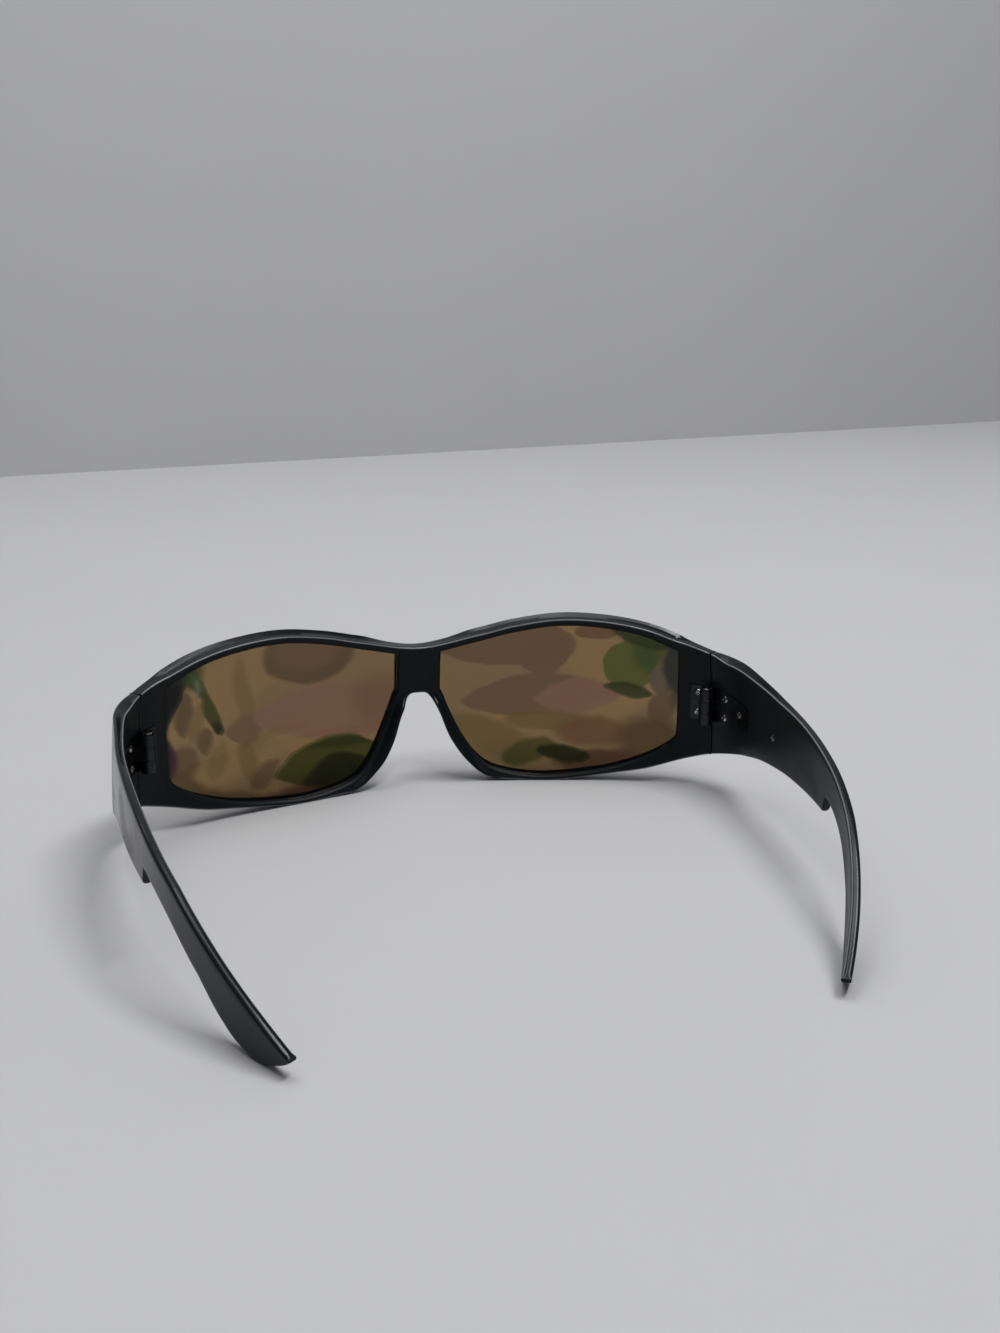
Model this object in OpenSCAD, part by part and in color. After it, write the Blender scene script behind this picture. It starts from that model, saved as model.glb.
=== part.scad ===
// Wraparound sunglasses, standing open on the rims' lower edges and the temple tips.
// X runs across the face (the wearer's left is +X), the front looks along -Y, Z is up.
// The front and both temples follow one plan curve. A place on it is an arc length
// from the nose, a height above the ground and a depth towards the outer face.

/* [Plan curve] */
// Length of the arc over the nose, from the middle
nose_arc = 20; // [16:1:26]
// Radius of the arc over the nose
nose_radius = 145; // [120:5:180]
// Length of the arc along each lens
lens_arc = 47; // [44:1:52]
// Radius of the arc along each lens
lens_radius = 108; // [90:2:140]
// Length of the arc round the corner of the head
corner_arc = 21.4; // [20:0.2:25]
// Radius of the arc round the corner of the head
corner_radius = 22; // [20:0.5:26]
// Length of the nearly straight side of a temple
side_arc = 48.6; // [40:0.2:56]
// Radius of the nearly straight side of a temple
side_radius = 226; // [200:2:400]
// Length of the arc that draws the tip in behind the ear
ear_arc = 50; // [44:0.5:54]
// Radius of the arc that draws the tip in behind the ear
ear_radius = 118; // [80:2:140]

/* [Front] */
// Width of one lens opening, along the curve
lens_width = 61.8; // [58:0.2:64]
// Height of one lens opening
lens_height = 39.3; // [34:0.5:42]
// Gap between the two lens openings
bridge_width = 11.2; // [9:0.2:14]
// Height of the rim over the lens
rim_top = 2; // [1.6:0.1:3]
// Height of the rim under the lens
rim_low = 1.2; // [1.2:0.1:2.4]
// Width of the nose legs
leg_width = 4.2; // [3.4:0.1:5]
// Depth of the front from back to outer face, at the brow
front_depth = 4.8; // [4.4:0.1:6]
// How much the front loses in depth from the brow to its lower edge
depth_taper = 0.7; // [0:0.1:0.8]
// How far the brow's outer edge stands above its back edge
brow_flare = 0.9; // [0:0.1:1.5]
// Rounding of the front's edges
edge_round = 0.7; // [0.3:0.05:0.9]
// Bevel round the lens openings
lip_bevel = 0.45; // [0.2:0.05:0.6]
// How far the nose pads stand out behind the legs
pad_depth = 2.4; // [1:0.1:2.8]
// How far the legs' outer edges stand back from the pads' ridges
pad_rake = 1.8; // [0.6:0.1:2]
// How far the top and foot of the front curve back, 20 mm from its middle height
crown = 4.4; // [3:0.1:5]
// Height on the front that stands furthest forward
crown_height = 22; // [18:0.5:26]
// Lean of the front towards its outer side, in degrees
front_tilt = 2; // [0:0.5:6]
// Lean of the temples, inward at the top, in degrees
side_lean = 4.8; // [0:0.2:6]

/* [Lens] */
// Thickness of the lens
lens_thickness = 1.8; // [1.4:0.1:2]
// Depth of the groove that holds the lens
groove_depth = 0.65; // [0.45:0.05:0.8]
// Clearance of the lens in its groove
lens_clearance = 0.1; // [0.05:0.01:0.2]
// Depth of the lens's middle from the front's back face
lens_seat = 2.2; // [2:0.05:2.4]

/* [Temple] */
// Arc length from the nose to the seam between front and temple
seam_place = 76; // [74:0.5:79]
// Width of the seam between front and temple
seam_gap = 0.25; // [0.15:0.05:0.4]
// Height of the seam's upper end
seam_top = 35.6; // [33:0.1:37]
// Height of the seam's lower end
seam_foot = 8.6; // [7:0.1:11]
// Thickness of the temple at the seam and of the front there
seam_depth = 3.1; // [2.6:0.1:3.4]
// Thickness of the temple along its side and tip
temple_depth = 1.9; // [1.7:0.1:2.6]
// How far the temple's outer top edge stands above its inner one, close behind the seam
temple_flare = 1.1; // [0:0.1:1.4]
// Length of the wide part of the temple, behind the seam
panel_length = 59; // [54:1:66]
// Rise of the wide part's lower edge from the seam to the notch
belly_rise = 7.4; // [5:0.1:9]
// Height of the notch where the wide part steps up to the tip
step_height = 3.7; // [2:0.1:4.5]
// Length over which the notch steps up
step_run = 2.4; // [1.6:0.1:4]
// Height of the tip's narrow part
tip_height = 8.6; // [7:0.1:10]
// Length of the rounded end of the tip
tip_cap = 9; // [6:0.5:10]

/* [Hinge] */
// Height of the hinge's middle above the ground
hinge_height = 22; // [20:0.5:24]
// Distance of the hinge axis from the curve of the back face
hinge_offset = 2.3; // [2.2:0.1:2.6]
// Radius of the hinge knuckles
knuckle_radius = 1.7; // [1.4:0.05:1.8]
// Height of one knuckle
knuckle_height = 3; // [2.4:0.1:3.4]
// Clearance between knuckles
knuckle_gap = 0.1; // [0.05:0.05:0.2]
// Thickness of the hinge leaves
leaf_thickness = 0.95; // [0.7:0.05:1]
// Depth of the leaves' outer faces behind the curve of the back face
leaf_sink = 0.55; // [0.4:0.05:0.6]
// Clearance round the leaves in their pockets
leaf_clearance = 0.15; // [0.1:0.05:0.2]
// Clearance between a leaf and the floor of its pocket
floor_clearance = 0.05; // [0.03:0.01:0.1]
// Length of the front's leaf
front_leaf = 5.6; // [5:0.1:6]
// Length of the temple's leaf
temple_leaf = 14; // [12:0.5:15]
// Height of the temple's leaf at its rear end
leaf_end = 4; // [3.4:0.1:6]
// Radius of the hinge screw
screw_radius = 0.65; // [0.5:0.05:0.8]
// Running clearance of the screw in the knuckles
screw_clearance = 0.05; // [0.02:0.01:0.1]
// Radius of the screw's head
head_radius = 1.3; // [1.1:0.05:1.5]
// Height of the screw's head
head_height = 0.7; // [0.5:0.05:1]
// Radius of a rivet's shank
rivet_radius = 0.55; // [0.4:0.05:0.7]
// Radius of a rivet's head
rivet_head = 0.9; // [0.75:0.05:1]
// Length of a rivet below the leaf
rivet_length = 1.1; // [0.8:0.1:1.2]
// Distance from the seam to the rivet behind the leaf
rear_rivet = 28; // [24:1:32]
// Depth of the flat seat under the rivet behind the leaf
rivet_seat = 0.2; // [0.1:0.05:0.3]

/* [Hidden] */
$fn = 48;

// The plan curve is a chain of arcs that all turn the same way.
ARCS = [[nose_arc, nose_radius], [lens_arc, lens_radius], [corner_arc, corner_radius],
    [side_arc, side_radius], [ear_arc, ear_radius]];
temple_end = nose_arc + lens_arc + corner_arc + side_arc + ear_arc;

// Degrees turned along an arc
function turn(length, radius) = length / radius * 180 / PI;

// Place and heading on the plan curve at arc length s: [x, y, degrees from X]
function plan(s, i = 0, x = 0, y = 0, a = 0) =
    let (length = ARCS[i][0], r = ARCS[i][1], last = i == len(ARCS) - 1)
    let (run = (s <= length || last) ? s : length, b = a + turn(run, r))
    let (nx = x + r * (sin(b) - sin(a)), ny = y + r * (cos(a) - cos(b)))
    (s <= length || last) ? [nx, ny, b] : plan(s - length, i + 1, nx, ny, b);

// A value that rises smoothly from 0 to 1 between two places
function smooth(s, from, to) =
    let (t = max(0, min(1, (s - from) / (to - from))))
    t * t * (3 - 2 * t);

// How far the back face curves in at height z, at arc length s
function inset(s, z) =
    let (flat = smooth(s, nose_arc + lens_arc - 8, seam_place + 2))
    let (lean = flat * (1 - smooth(s, seam_place, seam_place + 1.5 * corner_arc)))
    let (h = (z - crown_height) / 20)
    crown * (1 - 0.8 * flat) * h * h + lean * tan(side_lean) * (z - hinge_height);

// Length behind the seam over which the front's lean dies out
tilt_run = 30;

// Point in space for arc length s, height z and depth w towards the outer face
function wrap(s, z, w) =
    let (p = plan(s), off = inset(s, z) - w, front = 1 - smooth(s, seam_place, seam_place + tilt_run))
    [p.x - off * sin(p.z), p.y + off * cos(p.z) - front * tan(front_tilt) * (z - hinge_height), z];

// Depth of the front at arc length s and height z
function depth(s, z) =
    let (full = front_depth - depth_taper * (1 - z / lens_height))
    full + (seam_depth - full) * smooth(s, nose_arc + lens_arc - 7, seam_place);

// A smooth curve through four points, at t from the second to the third
function curve(a, b, c, d, t) =
    b + t / 2 * ((c - a) + t * ((2 * a - 5 * b + 4 * c - d) + t * (3 * b - a - 3 * c + d)));

// The point before the end of a curve: mirrored where it starts on the middle plane
function lead(end, next) = end.x < 0.001 ? [-next.x, next.y] : 2 * end - next;

// Point on the smooth curve through a list of points, at place t counted in points
function along(points, t) =
    let (n = len(points) - 1, i = min(n - 1, floor(t)))
    let (a = i > 0 ? points[i - 1] : lead(points[0], points[1]))
    let (d = i < n - 1 ? points[i + 2] : lead(points[n], points[n - 1]))
    curve(a, points[i], points[i + 1], d, t - i);

// Height at s on a smooth curve through [s, z] points with rising s
function height_at(points, s, i = 0) =
    (i < len(points) - 2 && s > points[i + 1].x) ? height_at(points, s, i + 1)
    : let (t = (s - points[i].x) / (points[i + 1].x - points[i].x)) along(points, i + t).y;

// A lens opening's own place, given as shares of its width and height
function opening(across, up) = [bridge_width / 2 + across * lens_width, rim_low + up * lens_height];

// The frame's edge, a rim's width away from the opening at a given angle
function rim(p, width, angle) = p + width * [cos(angle), sin(angle)];

// Runs of matching places round one lens: [opening, frame's edge] in arc length and height.
// Each run is smooth, and the runs meet at the corners of the front.
NOSE_TOP = [opening(0, 0.835), [0, opening(0, 0.835).y + 1.6]];
BROW_END = [opening(0.975, 0.869), rim(opening(0.975, 0.869), rim_top * 1.3, 72)];
SEAM_TOP = [opening(0.992, 0.853), [seam_place, seam_top]];
SEAM_MIDDLE = [opening(0.991, 0.6), [seam_place, (2 * seam_top + seam_foot) / 3]];
SEAM_FOOT = [opening(0.991, 0.36), [seam_place, seam_foot]];
NOSE_FOOT = [opening(0, 0.578), [0, opening(0, 0.557).y]];
BROW = [NOSE_TOP,
    for (q = [[0.155, 0.893, 104, 1], [0.317, 0.956, 100, 1], [0.5, 1, 92, 1], [0.688, 0.99, 84, 1.03],
        [0.846, 0.947, 78, 1.1]]) let (p = opening(q.x, q.y)) [p, rim(p, rim_top * q[3], q.z)],
    BROW_END];
// Along the cheek the rim is wider than its least width; down the nose it is a share of the leg's
CHEEK = [SEAM_FOOT,
    for (q = [[0.984, 0.272, -43.3, 5.8], [0.93, 0.195, -43.5, 3.5], [0.833, 0.117, -65, 1.45],
        [0.692, 0.048, -75, 0.15], [0.5, 0.006, -90, 0], [0.36, 0.007, -104, 0.2]])
        let (p = opening(q.x, q.y)) [p, rim(p, rim_low + q[3], q.z)],
    for (q = [[0.222, 0.051, -130, 0.64], [0.145, 0.135, -156, 0.657], [0.087, 0.27, -175, 0.8],
        [0.037, 0.437, -182, 0.72], [0.012, 0.54, -180.8, 0.89]])
        let (p = opening(q.x, q.y)) [p, rim(p, leg_width * q[3], q.z)],
    NOSE_FOOT];
// Each run with its number of steps from one place to the next
RUNS = [[BROW, 4], [[BROW_END, SEAM_TOP], 4], [[SEAM_TOP, SEAM_MIDDLE, SEAM_FOOT], 5],
    [CHEEK, 4], [[NOSE_FOOT, NOSE_TOP], 5]];
STATIONS = [for (run = RUNS) for (i = [0 : len(run[0]) - 2]) for (j = [0 : run[1] - 1])
    [for (side = [0, 1]) along([for (row = run[0]) row[side]], i + j / run[1])]];
COUNT = len(STATIONS);

// True where the frame's edge lies on the middle plane
function middle(k) = STATIONS[k][1].x < 0.001;
// Way in from the frame's edge: straight down or up on the middle plane, square to the edge elsewhere
function inward(k) =
    middle(k) ? (middle((k + 1) % COUNT) && middle((k + COUNT - 1) % COUNT) ? [0, 0]
        : middle((k + 1) % COUNT) ? [0, 1] : [0, -1])
    : let (v = STATIONS[(k + 1) % COUNT][1] - STATIONS[(k + COUNT - 1) % COUNT][1]) [v.y, -v.x] / norm(v);
function outward(k) = let (v = STATIONS[k][1] - STATIONS[k][0]) v / norm(v);

// How much of a nose pad a station has: all on the leg, none at the bridge or the cheek
function pad(k) =
    let (e = STATIONS[k][1], leg = STATIONS[k][0].x < bridge_width / 2 + 0.3 * lens_width)
    leg && !middle(k) ? smooth(e.y, 0, 0.22 * lens_height)
        * (1 - smooth(e.y, 0.495 * lens_height, 0.585 * lens_height)) : 0;

// The ring of points across the rim at one station
PROFILE = 18;
function section(k) =
    let (a = STATIONS[k][0], e = STATIONS[k][1], out = outward(k), in = inward(k))
    let (wide = norm(e - a) - lip_bevel, mid = (a + e) / 2)
    let (r = e.x > seam_place - 0.001 ? 0.2 : min(edge_round, 0.6 * wide))
    let (full = depth(mid.x, mid.y), edge = depth(e.x, e.y), open = depth(a.x, a.y))
    let (half_groove = lens_thickness / 2 + lens_clearance)
    let (g0 = lens_seat - half_groove, g1 = lens_seat + half_groove)
    let (flare = middle(k) ? 0 : brow_flare * pow(max(0, out.y), 2) * smooth(e.x, 0, 6))
    let (p = pad(k), rake = p * min(pad_rake, 0.45 * wide), corner = e + (r - flare + rake) * in)
    let (deep = a + groove_depth * out, bevel = a + lip_bevel * out)
    [[bevel, 0], [a, lip_bevel], [a, g0], [deep, g0], [deep, g1], [a, g1],
        [a, open - lip_bevel], [bevel, open],
        [(bevel + corner) / 2, full],
        [corner, edge],
        [e + (0.3 * r - flare + rake) * in, edge - 0.3 * r],
        [e + (rake - flare) * in, edge - r],
        [e + 0.7 * rake * in, edge / 2],
        [e, (1 - p) * r - 0.7 * p * pad_depth],
        [e + ((1 - p) * 0.3 * r + 0.35 * p) * in, (1 - p) * 0.3 * r - p * pad_depth],
        [e + ((1 - p) * r + 1.1 * p) * in, -0.8 * p * pad_depth],
        [mid + 0.3 * p * in, -0.15 * p * pad_depth], [(mid + bevel) / 2, 0]];
EDGE_FROM = 9;
EDGE_TO = 15;

FRONT = [for (k = [0 : COUNT - 1]) for (q = section(k)) wrap(q[0].x, q[0].y, q[1])];

// The front is one skin: the left half's rings, mirrored, joined on the middle plane
function on_plane(i) = abs(FRONT[i].x) < 0.001;
function other(i) = on_plane(i) ? i : i + len(FRONT);
module front_skin() {
    cells = [for (k = [0 : COUNT - 1]) for (m = [0 : PROFILE - 1])
        let (k2 = (k + 1) % COUNT, m2 = (m + 1) % PROFILE)
        if (!(middle(k) && middle(k2) && m >= EDGE_FROM && m < EDGE_TO))
            [k * PROFILE + m, k * PROFILE + m2, k2 * PROFILE + m2, k2 * PROFILE + m]];
    faces = [for (c = cells) each [[c[0], c[1], c[2]], [c[0], c[2], c[3]]]];
    polyhedron(
        points = concat(FRONT, [for (p = FRONT) [-p.x, p.y, p.z]]),
        faces = concat(faces, [for (f = faces) [other(f[2]), other(f[1]), other(f[0])]]));
}

// The lens: rings from its rim to its middle on both faces
LENS_RINGS = [1, 0.86, 0.6, 0.3];
LENS_MIDDLE = opening(0.5, 0.5);
function lens_rim(k) = STATIONS[k][0] + (groove_depth - lens_clearance) * outward(k);
function lens_ring(share, w) =
    [for (k = [0 : COUNT - 1]) let (q = LENS_MIDDLE + share * (lens_rim(k) - LENS_MIDDLE)) wrap(q.x, q.y, w)];
module lens() {
    back = lens_seat - lens_thickness / 2;
    front = lens_seat + lens_thickness / 2;
    rings = len(LENS_RINGS);
    points = [for (share = LENS_RINGS) each lens_ring(share, back),
        for (share = LENS_RINGS) each lens_ring(share, front),
        wrap(LENS_MIDDLE.x, LENS_MIDDLE.y, back),
        wrap(LENS_MIDDLE.x, LENS_MIDDLE.y, front)];
    function at(side, ring, k) = (side * rings + ring) * COUNT + k % COUNT;
    hub = 2 * rings * COUNT;
    faces = [for (k = [0 : COUNT - 1]) each [
        [at(0, 0, k), at(0, 0, k + 1), at(1, 0, k + 1)],
        [at(0, 0, k), at(1, 0, k + 1), at(1, 0, k)],
        for (r = [0 : rings - 2]) each [
            [at(0, r, k), at(0, r + 1, k + 1), at(0, r, k + 1)],
            [at(0, r, k), at(0, r + 1, k), at(0, r + 1, k + 1)],
            [at(1, r, k + 1), at(1, r + 1, k + 1), at(1, r, k)],
            [at(1, r, k), at(1, r + 1, k + 1), at(1, r + 1, k)]],
        [at(0, rings - 1, k), hub, at(0, rings - 1, k + 1)],
        [at(1, rings - 1, k + 1), hub + 1, at(1, rings - 1, k)]]];
    polyhedron(points = points, faces = faces);
}

// The temple's edges as [arc length, height] points, from shares of its lengths and heights
step_place = seam_place + panel_length;
temple_length = temple_end - seam_place;
tip_length = temple_end - step_place;
notch_top = seam_foot + belly_rise + step_height;
TOP_EDGE = [for (q = [[0, 0], [0.136, 0.045], [0.271, 0.12], [0.484, 0.225], [0.697, 0.44],
    [0.843, 0.72], [1, 1.085]])
    [seam_place + q.x * temple_length, seam_top - q.y * (seam_top - tip_height)]];
LOW_EDGE = [for (q = [[0, 0], [0.17, 0.37], [0.37, 0.73], [0.61, 0.95], [1, 1.02], [1.3, 0.84]])
    [seam_place + q.x * panel_length, seam_foot + q.y * belly_rise]];
TIP_EDGE = [for (q = [[-0.187, 1.06], [0.075, 1], [0.298, 0.84], [0.523, 0.53], [0.671, 0.24], [0.769, 0.12],
    [0.85, 0.09], [1, 0.1]])
    [step_place + q.x * tip_length, q.y * notch_top]];

// Height of the temple's lower and upper edge at arc length s
function foot_edge(s) =
    let (e = smooth(s, step_place, step_place + step_run))
    e == 0 ? height_at(LOW_EDGE, s) : (1 - e) * height_at(LOW_EDGE, s) + e * height_at(TIP_EDGE, s);
function top_edge(s) = height_at(TOP_EDGE, s);
// Share of its height that the temple has left towards its end, where the lower edge rises to the top one
function cap(s) = let (q = max(0, (s - temple_end + tip_cap) / tip_cap)) sqrt(max(0.03, 1 - q * q));
// Length behind the seam over which the temple thins to its own thickness
thin_run = 25;
function temple_thick(s) =
    seam_depth + (temple_depth - seam_depth) * smooth(s, seam_place, seam_place + thin_run);

// How far the top face slopes in: nothing at the seam, most close behind it, nothing along the tip
function slope(s) = temple_flare * smooth(s, seam_place, seam_place + 0.1 * panel_length)
    * (1 - smooth(s, seam_place + 0.25 * panel_length, seam_place + 0.8 * panel_length));

// The ring of points across the temple, shrunk by a bevel at the seam
function temple_ring(s, bevel) =
    let (low0 = foot_edge(s), high0 = top_edge(s), c = 0.1 * low0 + 0.9 * high0, k = cap(s))
    let (low = c + (low0 - c) * k + bevel, high = c + (high0 - c) * k - bevel)
    let (t0 = bevel, t1 = temple_thick(s) - bevel, r = min(edge_round, (t1 - t0) * 0.4, (high - low) * 0.4))
    let (h1 = low + (high - low) * 0.35, h2 = low + (high - low) * 0.68, inner = high - slope(s))
    [for (q = [[t0, low + r], [t0, h1], [t0, h2],
        [t0, inner - r], [t0 + 0.3 * r, inner - 0.3 * r], [t0 + r, inner],
        [t1 - r, high], [t1 - 0.3 * r, high - 0.3 * r], [t1, high - r], [t1, h2], [t1, h1], [t1, low + r],
        [t1 - 0.3 * r, low + 0.3 * r], [t1 - r, low], [t0 + r, low], [t0 + 0.3 * r, low + 0.3 * r]])
        wrap(s, q.y, q.x)];
RING = 16;
TEMPLE_STATIONS = [
    [seam_place + seam_gap, 0.2], [seam_place + seam_gap + 0.2, 0],
    for (i = [1 : 26]) [seam_place + 0.5 + i * (panel_length - 0.5) / 26, 0],
    for (i = [1 : 6]) [step_place + i * step_run / 6, 0],
    for (i = [1 : 17]) [step_place + step_run + i * (temple_end - tip_cap - step_place - step_run) / 17, 0],
    for (a = [15 : 15 : 90]) [temple_end - tip_cap + tip_cap * sin(a), 0]];
TEMPLE_RINGS = [for (q = TEMPLE_STATIONS) temple_ring(q.x, q.y)];
// The tip settles onto the ground that the rims stand on
GROUND = min([for (p = FRONT) p.z]);
tip_settle = min([for (ring = TEMPLE_RINGS) for (p = ring) p.z]) - GROUND;
TEMPLE = [for (i = [0 : len(TEMPLE_RINGS) - 1])
    let (drop = tip_settle * smooth(TEMPLE_STATIONS[i].x, step_place + step_run, temple_end - tip_cap))
    for (p = TEMPLE_RINGS[i]) [p.x, p.y, p.z - drop]];
module temple_skin() {
    last = len(TEMPLE_STATIONS) - 1;
    sides = [for (i = [0 : last - 1]) for (m = [0 : RING - 1])
        let (m2 = (m + 1) % RING)
        each [[i * RING + m, (i + 1) * RING + m2, i * RING + m2],
            [i * RING + m, (i + 1) * RING + m, (i + 1) * RING + m2]]];
    // Each end is closed by a ladder of faces between matching points of the two sides
    ladder = [for (i = [0 : RING / 2 - 2])
        let (a = (i + RING - 2) % RING, a2 = (i + RING - 1) % RING, b = (RING * 2 - 3 - i) % RING)
        each [[a, a2, b], [a2, b - 1, b]]];
    ends = concat(ladder, [for (f = ladder) [for (i = [2, 1, 0]) last * RING + f[i]]]);
    polyhedron(points = TEMPLE, faces = concat(sides, ends));
}

// The whole object is centred from its front to its tips
FOREMOST = min([for (p = FRONT) p.y]);
REARMOST = max([for (p = TEMPLE) p.y]);
module in_place() {
    translate([0, -(FOREMOST + REARMOST) / 2, -GROUND]) children();
}

// Seam frame: X runs back along the temple, Y points in towards the head
SEAM = plan(seam_place);
module at_seam() {
    translate([SEAM.x, SEAM.y, 0]) rotate([0, 0, SEAM.z]) children();
}
// Turned about the middle of the corner arc by an arc length from the seam
module round_corner(s) {
    translate([0, corner_radius, 0]) rotate([0, 0, turn(s, corner_radius)]) children();
}
stack_height = 3 * knuckle_height;
stack_foot = hinge_height - stack_height / 2;
// Depth of the pockets' cutters and of the rivets' borings above the curve of the back face
cut_depth = 4;
// Where the temple's leaf starts to narrow, and the block that trims its outline
taper_start = 4;
trim_depth = 14;
trim_shift = 6;
// Height of a rivet's head, its top's share of its radius and the shank's clearance
head_rise = 0.35;
head_top = 0.6;
rivet_clearance = 0.03;

// A band that follows the corner arc from one arc length to another
module corner_band(from, to, sink, rise, low, high) {
    round_corner(from) rotate([0, 0, -90]) rotate_extrude(angle = turn(to - from, corner_radius))
        translate([corner_radius - rise, low]) square([sink + rise, high - low]);
}

// A leaf, or its pocket with clearance round it and open at the seam
module temple_leaf_shape(grow, rise, sink) {
    start = grow > 0 ? -0.5 : seam_gap + leaf_clearance;
    intersection() {
        corner_band(start, temple_leaf + grow, sink, rise,
            stack_foot - grow, stack_foot + stack_height + grow);
        translate([0, -trim_shift, hinge_height]) rotate([-90, 0, 0]) linear_extrude(height = trim_depth)
            polygon([[-1, stack_height / 2 + grow], [-1, -stack_height / 2 - grow],
                [taper_start, -stack_height / 2 - grow], [temple_leaf + 1, -leaf_end / 2 - grow],
                [temple_leaf + 1, leaf_end / 2 + grow], [taper_start, stack_height / 2 + grow]]);
    }
}
module front_leaf_shape(grow, rise, sink) {
    corner_band(-front_leaf - grow, grow > 0 ? 0.5 : -leaf_clearance, sink, rise,
        stack_foot - grow, stack_foot + stack_height + grow);
}

// A knuckle with the web that joins it to its leaf, on the side given by way
module knuckle(level, way) {
    z0 = stack_foot + level * knuckle_height + (level > 0 ? knuckle_gap / 2 : 0);
    z1 = stack_foot + (level + 1) * knuckle_height - (level < 2 ? knuckle_gap / 2 : 0);
    web = knuckle_radius - seam_gap - leaf_clearance;
    translate([0, 0, z0]) linear_extrude(height = z1 - z0) {
        translate([0, hinge_offset]) circle(r = knuckle_radius);
        translate([way > 0 ? knuckle_radius - web : -knuckle_radius, -leaf_sink / 2])
            square([web, hinge_offset + leaf_sink / 2]);
    }
}
module screw_bore() {
    translate([0, hinge_offset, stack_foot - 1])
        cylinder(r = screw_radius + screw_clearance, h = stack_height + 2);
}

// Places of the rivets from the seam: [arc length, height]
FRONT_RIVETS = [[-3.6, hinge_height - 2.6], [-3.6, hinge_height + 2.6]];
TEMPLE_RIVETS = [[4.6, hinge_height + 2.4], [4.6, hinge_height - 2.4], [10.4, hinge_height]];
module on_leaf(place) {
    round_corner(place.x) translate([0, -corner_radius, place.y]) rotate([90, 0, 0]) children();
}
module dome() {
    translate([0, 0, -head_rise]) cylinder(r1 = rivet_head * head_top, r2 = rivet_head, h = head_rise);
}
module rivet(top) {
    translate([0, 0, -top]) {
        cylinder(r = rivet_radius, h = top + leaf_sink + rivet_length);
        dome();
    }
}
module rivet_hole() {
    hole_length = cut_depth + leaf_sink + rivet_length + floor_clearance;
    translate([0, 0, -cut_depth]) cylinder(r = rivet_radius + rivet_clearance, h = hole_length);
}
// The rivet behind the leaf goes into the bare inner face
REAR = plan(seam_place + rear_rivet);
module at_rear_rivet() {
    rear_face = inset(seam_place + rear_rivet, hinge_height);
    translate([REAR.x, REAR.y, hinge_height]) rotate([0, 0, REAR.z])
        translate([0, rear_face - rivet_seat, 0]) rotate([90, 0, 0]) children();
}

module left_pockets() {
    at_seam() {
        front_leaf_shape(leaf_clearance, cut_depth, leaf_sink + floor_clearance);
        for (place = FRONT_RIVETS) on_leaf(place) rivet_hole();
    }
}
module front_frame() {
    color([0.09, 0.10, 0.11]) in_place() difference() {
        front_skin();
        left_pockets();
        mirror([1, 0, 0]) left_pockets();
    }
}
module temple_half() {
    color([0.10, 0.11, 0.12]) in_place() difference() {
        temple_skin();
        at_seam() temple_leaf_shape(leaf_clearance, cut_depth, leaf_sink + floor_clearance);
        at_seam() for (place = TEMPLE_RIVETS) on_leaf(place) rivet_hole();
        at_rear_rivet() {
            translate([0, 0, -1])
                cylinder(r = rivet_radius + rivet_clearance, h = 1 + rivet_length + floor_clearance);
            translate([0, 0, -1]) cylinder(r = rivet_head + leaf_clearance, h = 1);
        }
    }
}
module lens_half() {
    color([0.42, 0.35, 0.26, 0.6]) in_place() lens();
}
module front_hinge_half() {
    color([0.12, 0.12, 0.13]) in_place() at_seam() difference() {
        union() {
            front_leaf_shape(0, leaf_thickness - leaf_sink, leaf_sink);
            knuckle(0, -1);
            knuckle(2, -1);
        }
        screw_bore();
        for (place = FRONT_RIVETS) on_leaf(place) rivet_hole();
    }
}
module temple_hinge_half() {
    color([0.12, 0.12, 0.13]) in_place() at_seam() difference() {
        union() {
            temple_leaf_shape(0, leaf_thickness - leaf_sink, leaf_sink);
            knuckle(1, 1);
        }
        screw_bore();
        for (place = TEMPLE_RIVETS) on_leaf(place) rivet_hole();
    }
}
module screw_half() {
    color("silver") in_place() at_seam() translate([0, hinge_offset, stack_foot]) difference() {
        union() {
            cylinder(r = screw_radius, h = stack_height);
            translate([0, 0, stack_height]) cylinder(r = head_radius, h = head_height);
        }
        translate([-head_radius, -0.15, stack_height + head_height - 0.3]) cube([2 * head_radius, 0.3, 1]);
    }
}
module front_rivets_half() {
    color("silver") in_place() at_seam()
        for (place = FRONT_RIVETS) on_leaf(place) rivet(leaf_thickness - leaf_sink);
}
module temple_rivets_half() {
    color("silver") in_place() {
        at_seam() for (place = TEMPLE_RIVETS) on_leaf(place) rivet(leaf_thickness - leaf_sink);
        at_rear_rivet() {
            cylinder(r = rivet_radius, h = rivet_length);
            dome();
        }
    }
}
module right() {
    mirror([1, 0, 0]) children();
}

front_frame();
lens_half();  // lens_left
right() lens_half();  // lens_right
temple_half();  // temple_left
right() temple_half();  // temple_right
front_hinge_half();  // front_hinge_left
right() front_hinge_half();  // front_hinge_right
temple_hinge_half();  // temple_hinge_left
right() temple_hinge_half();  // temple_hinge_right
screw_half();  // hinge_screw_left
right() screw_half();  // hinge_screw_right
front_rivets_half();  // front_rivets_left
right() front_rivets_half();  // front_rivets_right
temple_rivets_half();  // temple_rivets_left
right() temple_rivets_half();  // temple_rivets_right
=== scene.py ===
# %% [markdown]
# # Wraparound sunglasses, standing open on a table
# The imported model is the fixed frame: every piece below is made at the place that the frame gives,
# in metres. Sizes are written in millimetres, as a maker would, and turned to metres once.

# %% Load the frame
import math

import bmesh
import bpy
import numpy as np
from mathutils import Matrix, Quaternion, Vector


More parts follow.
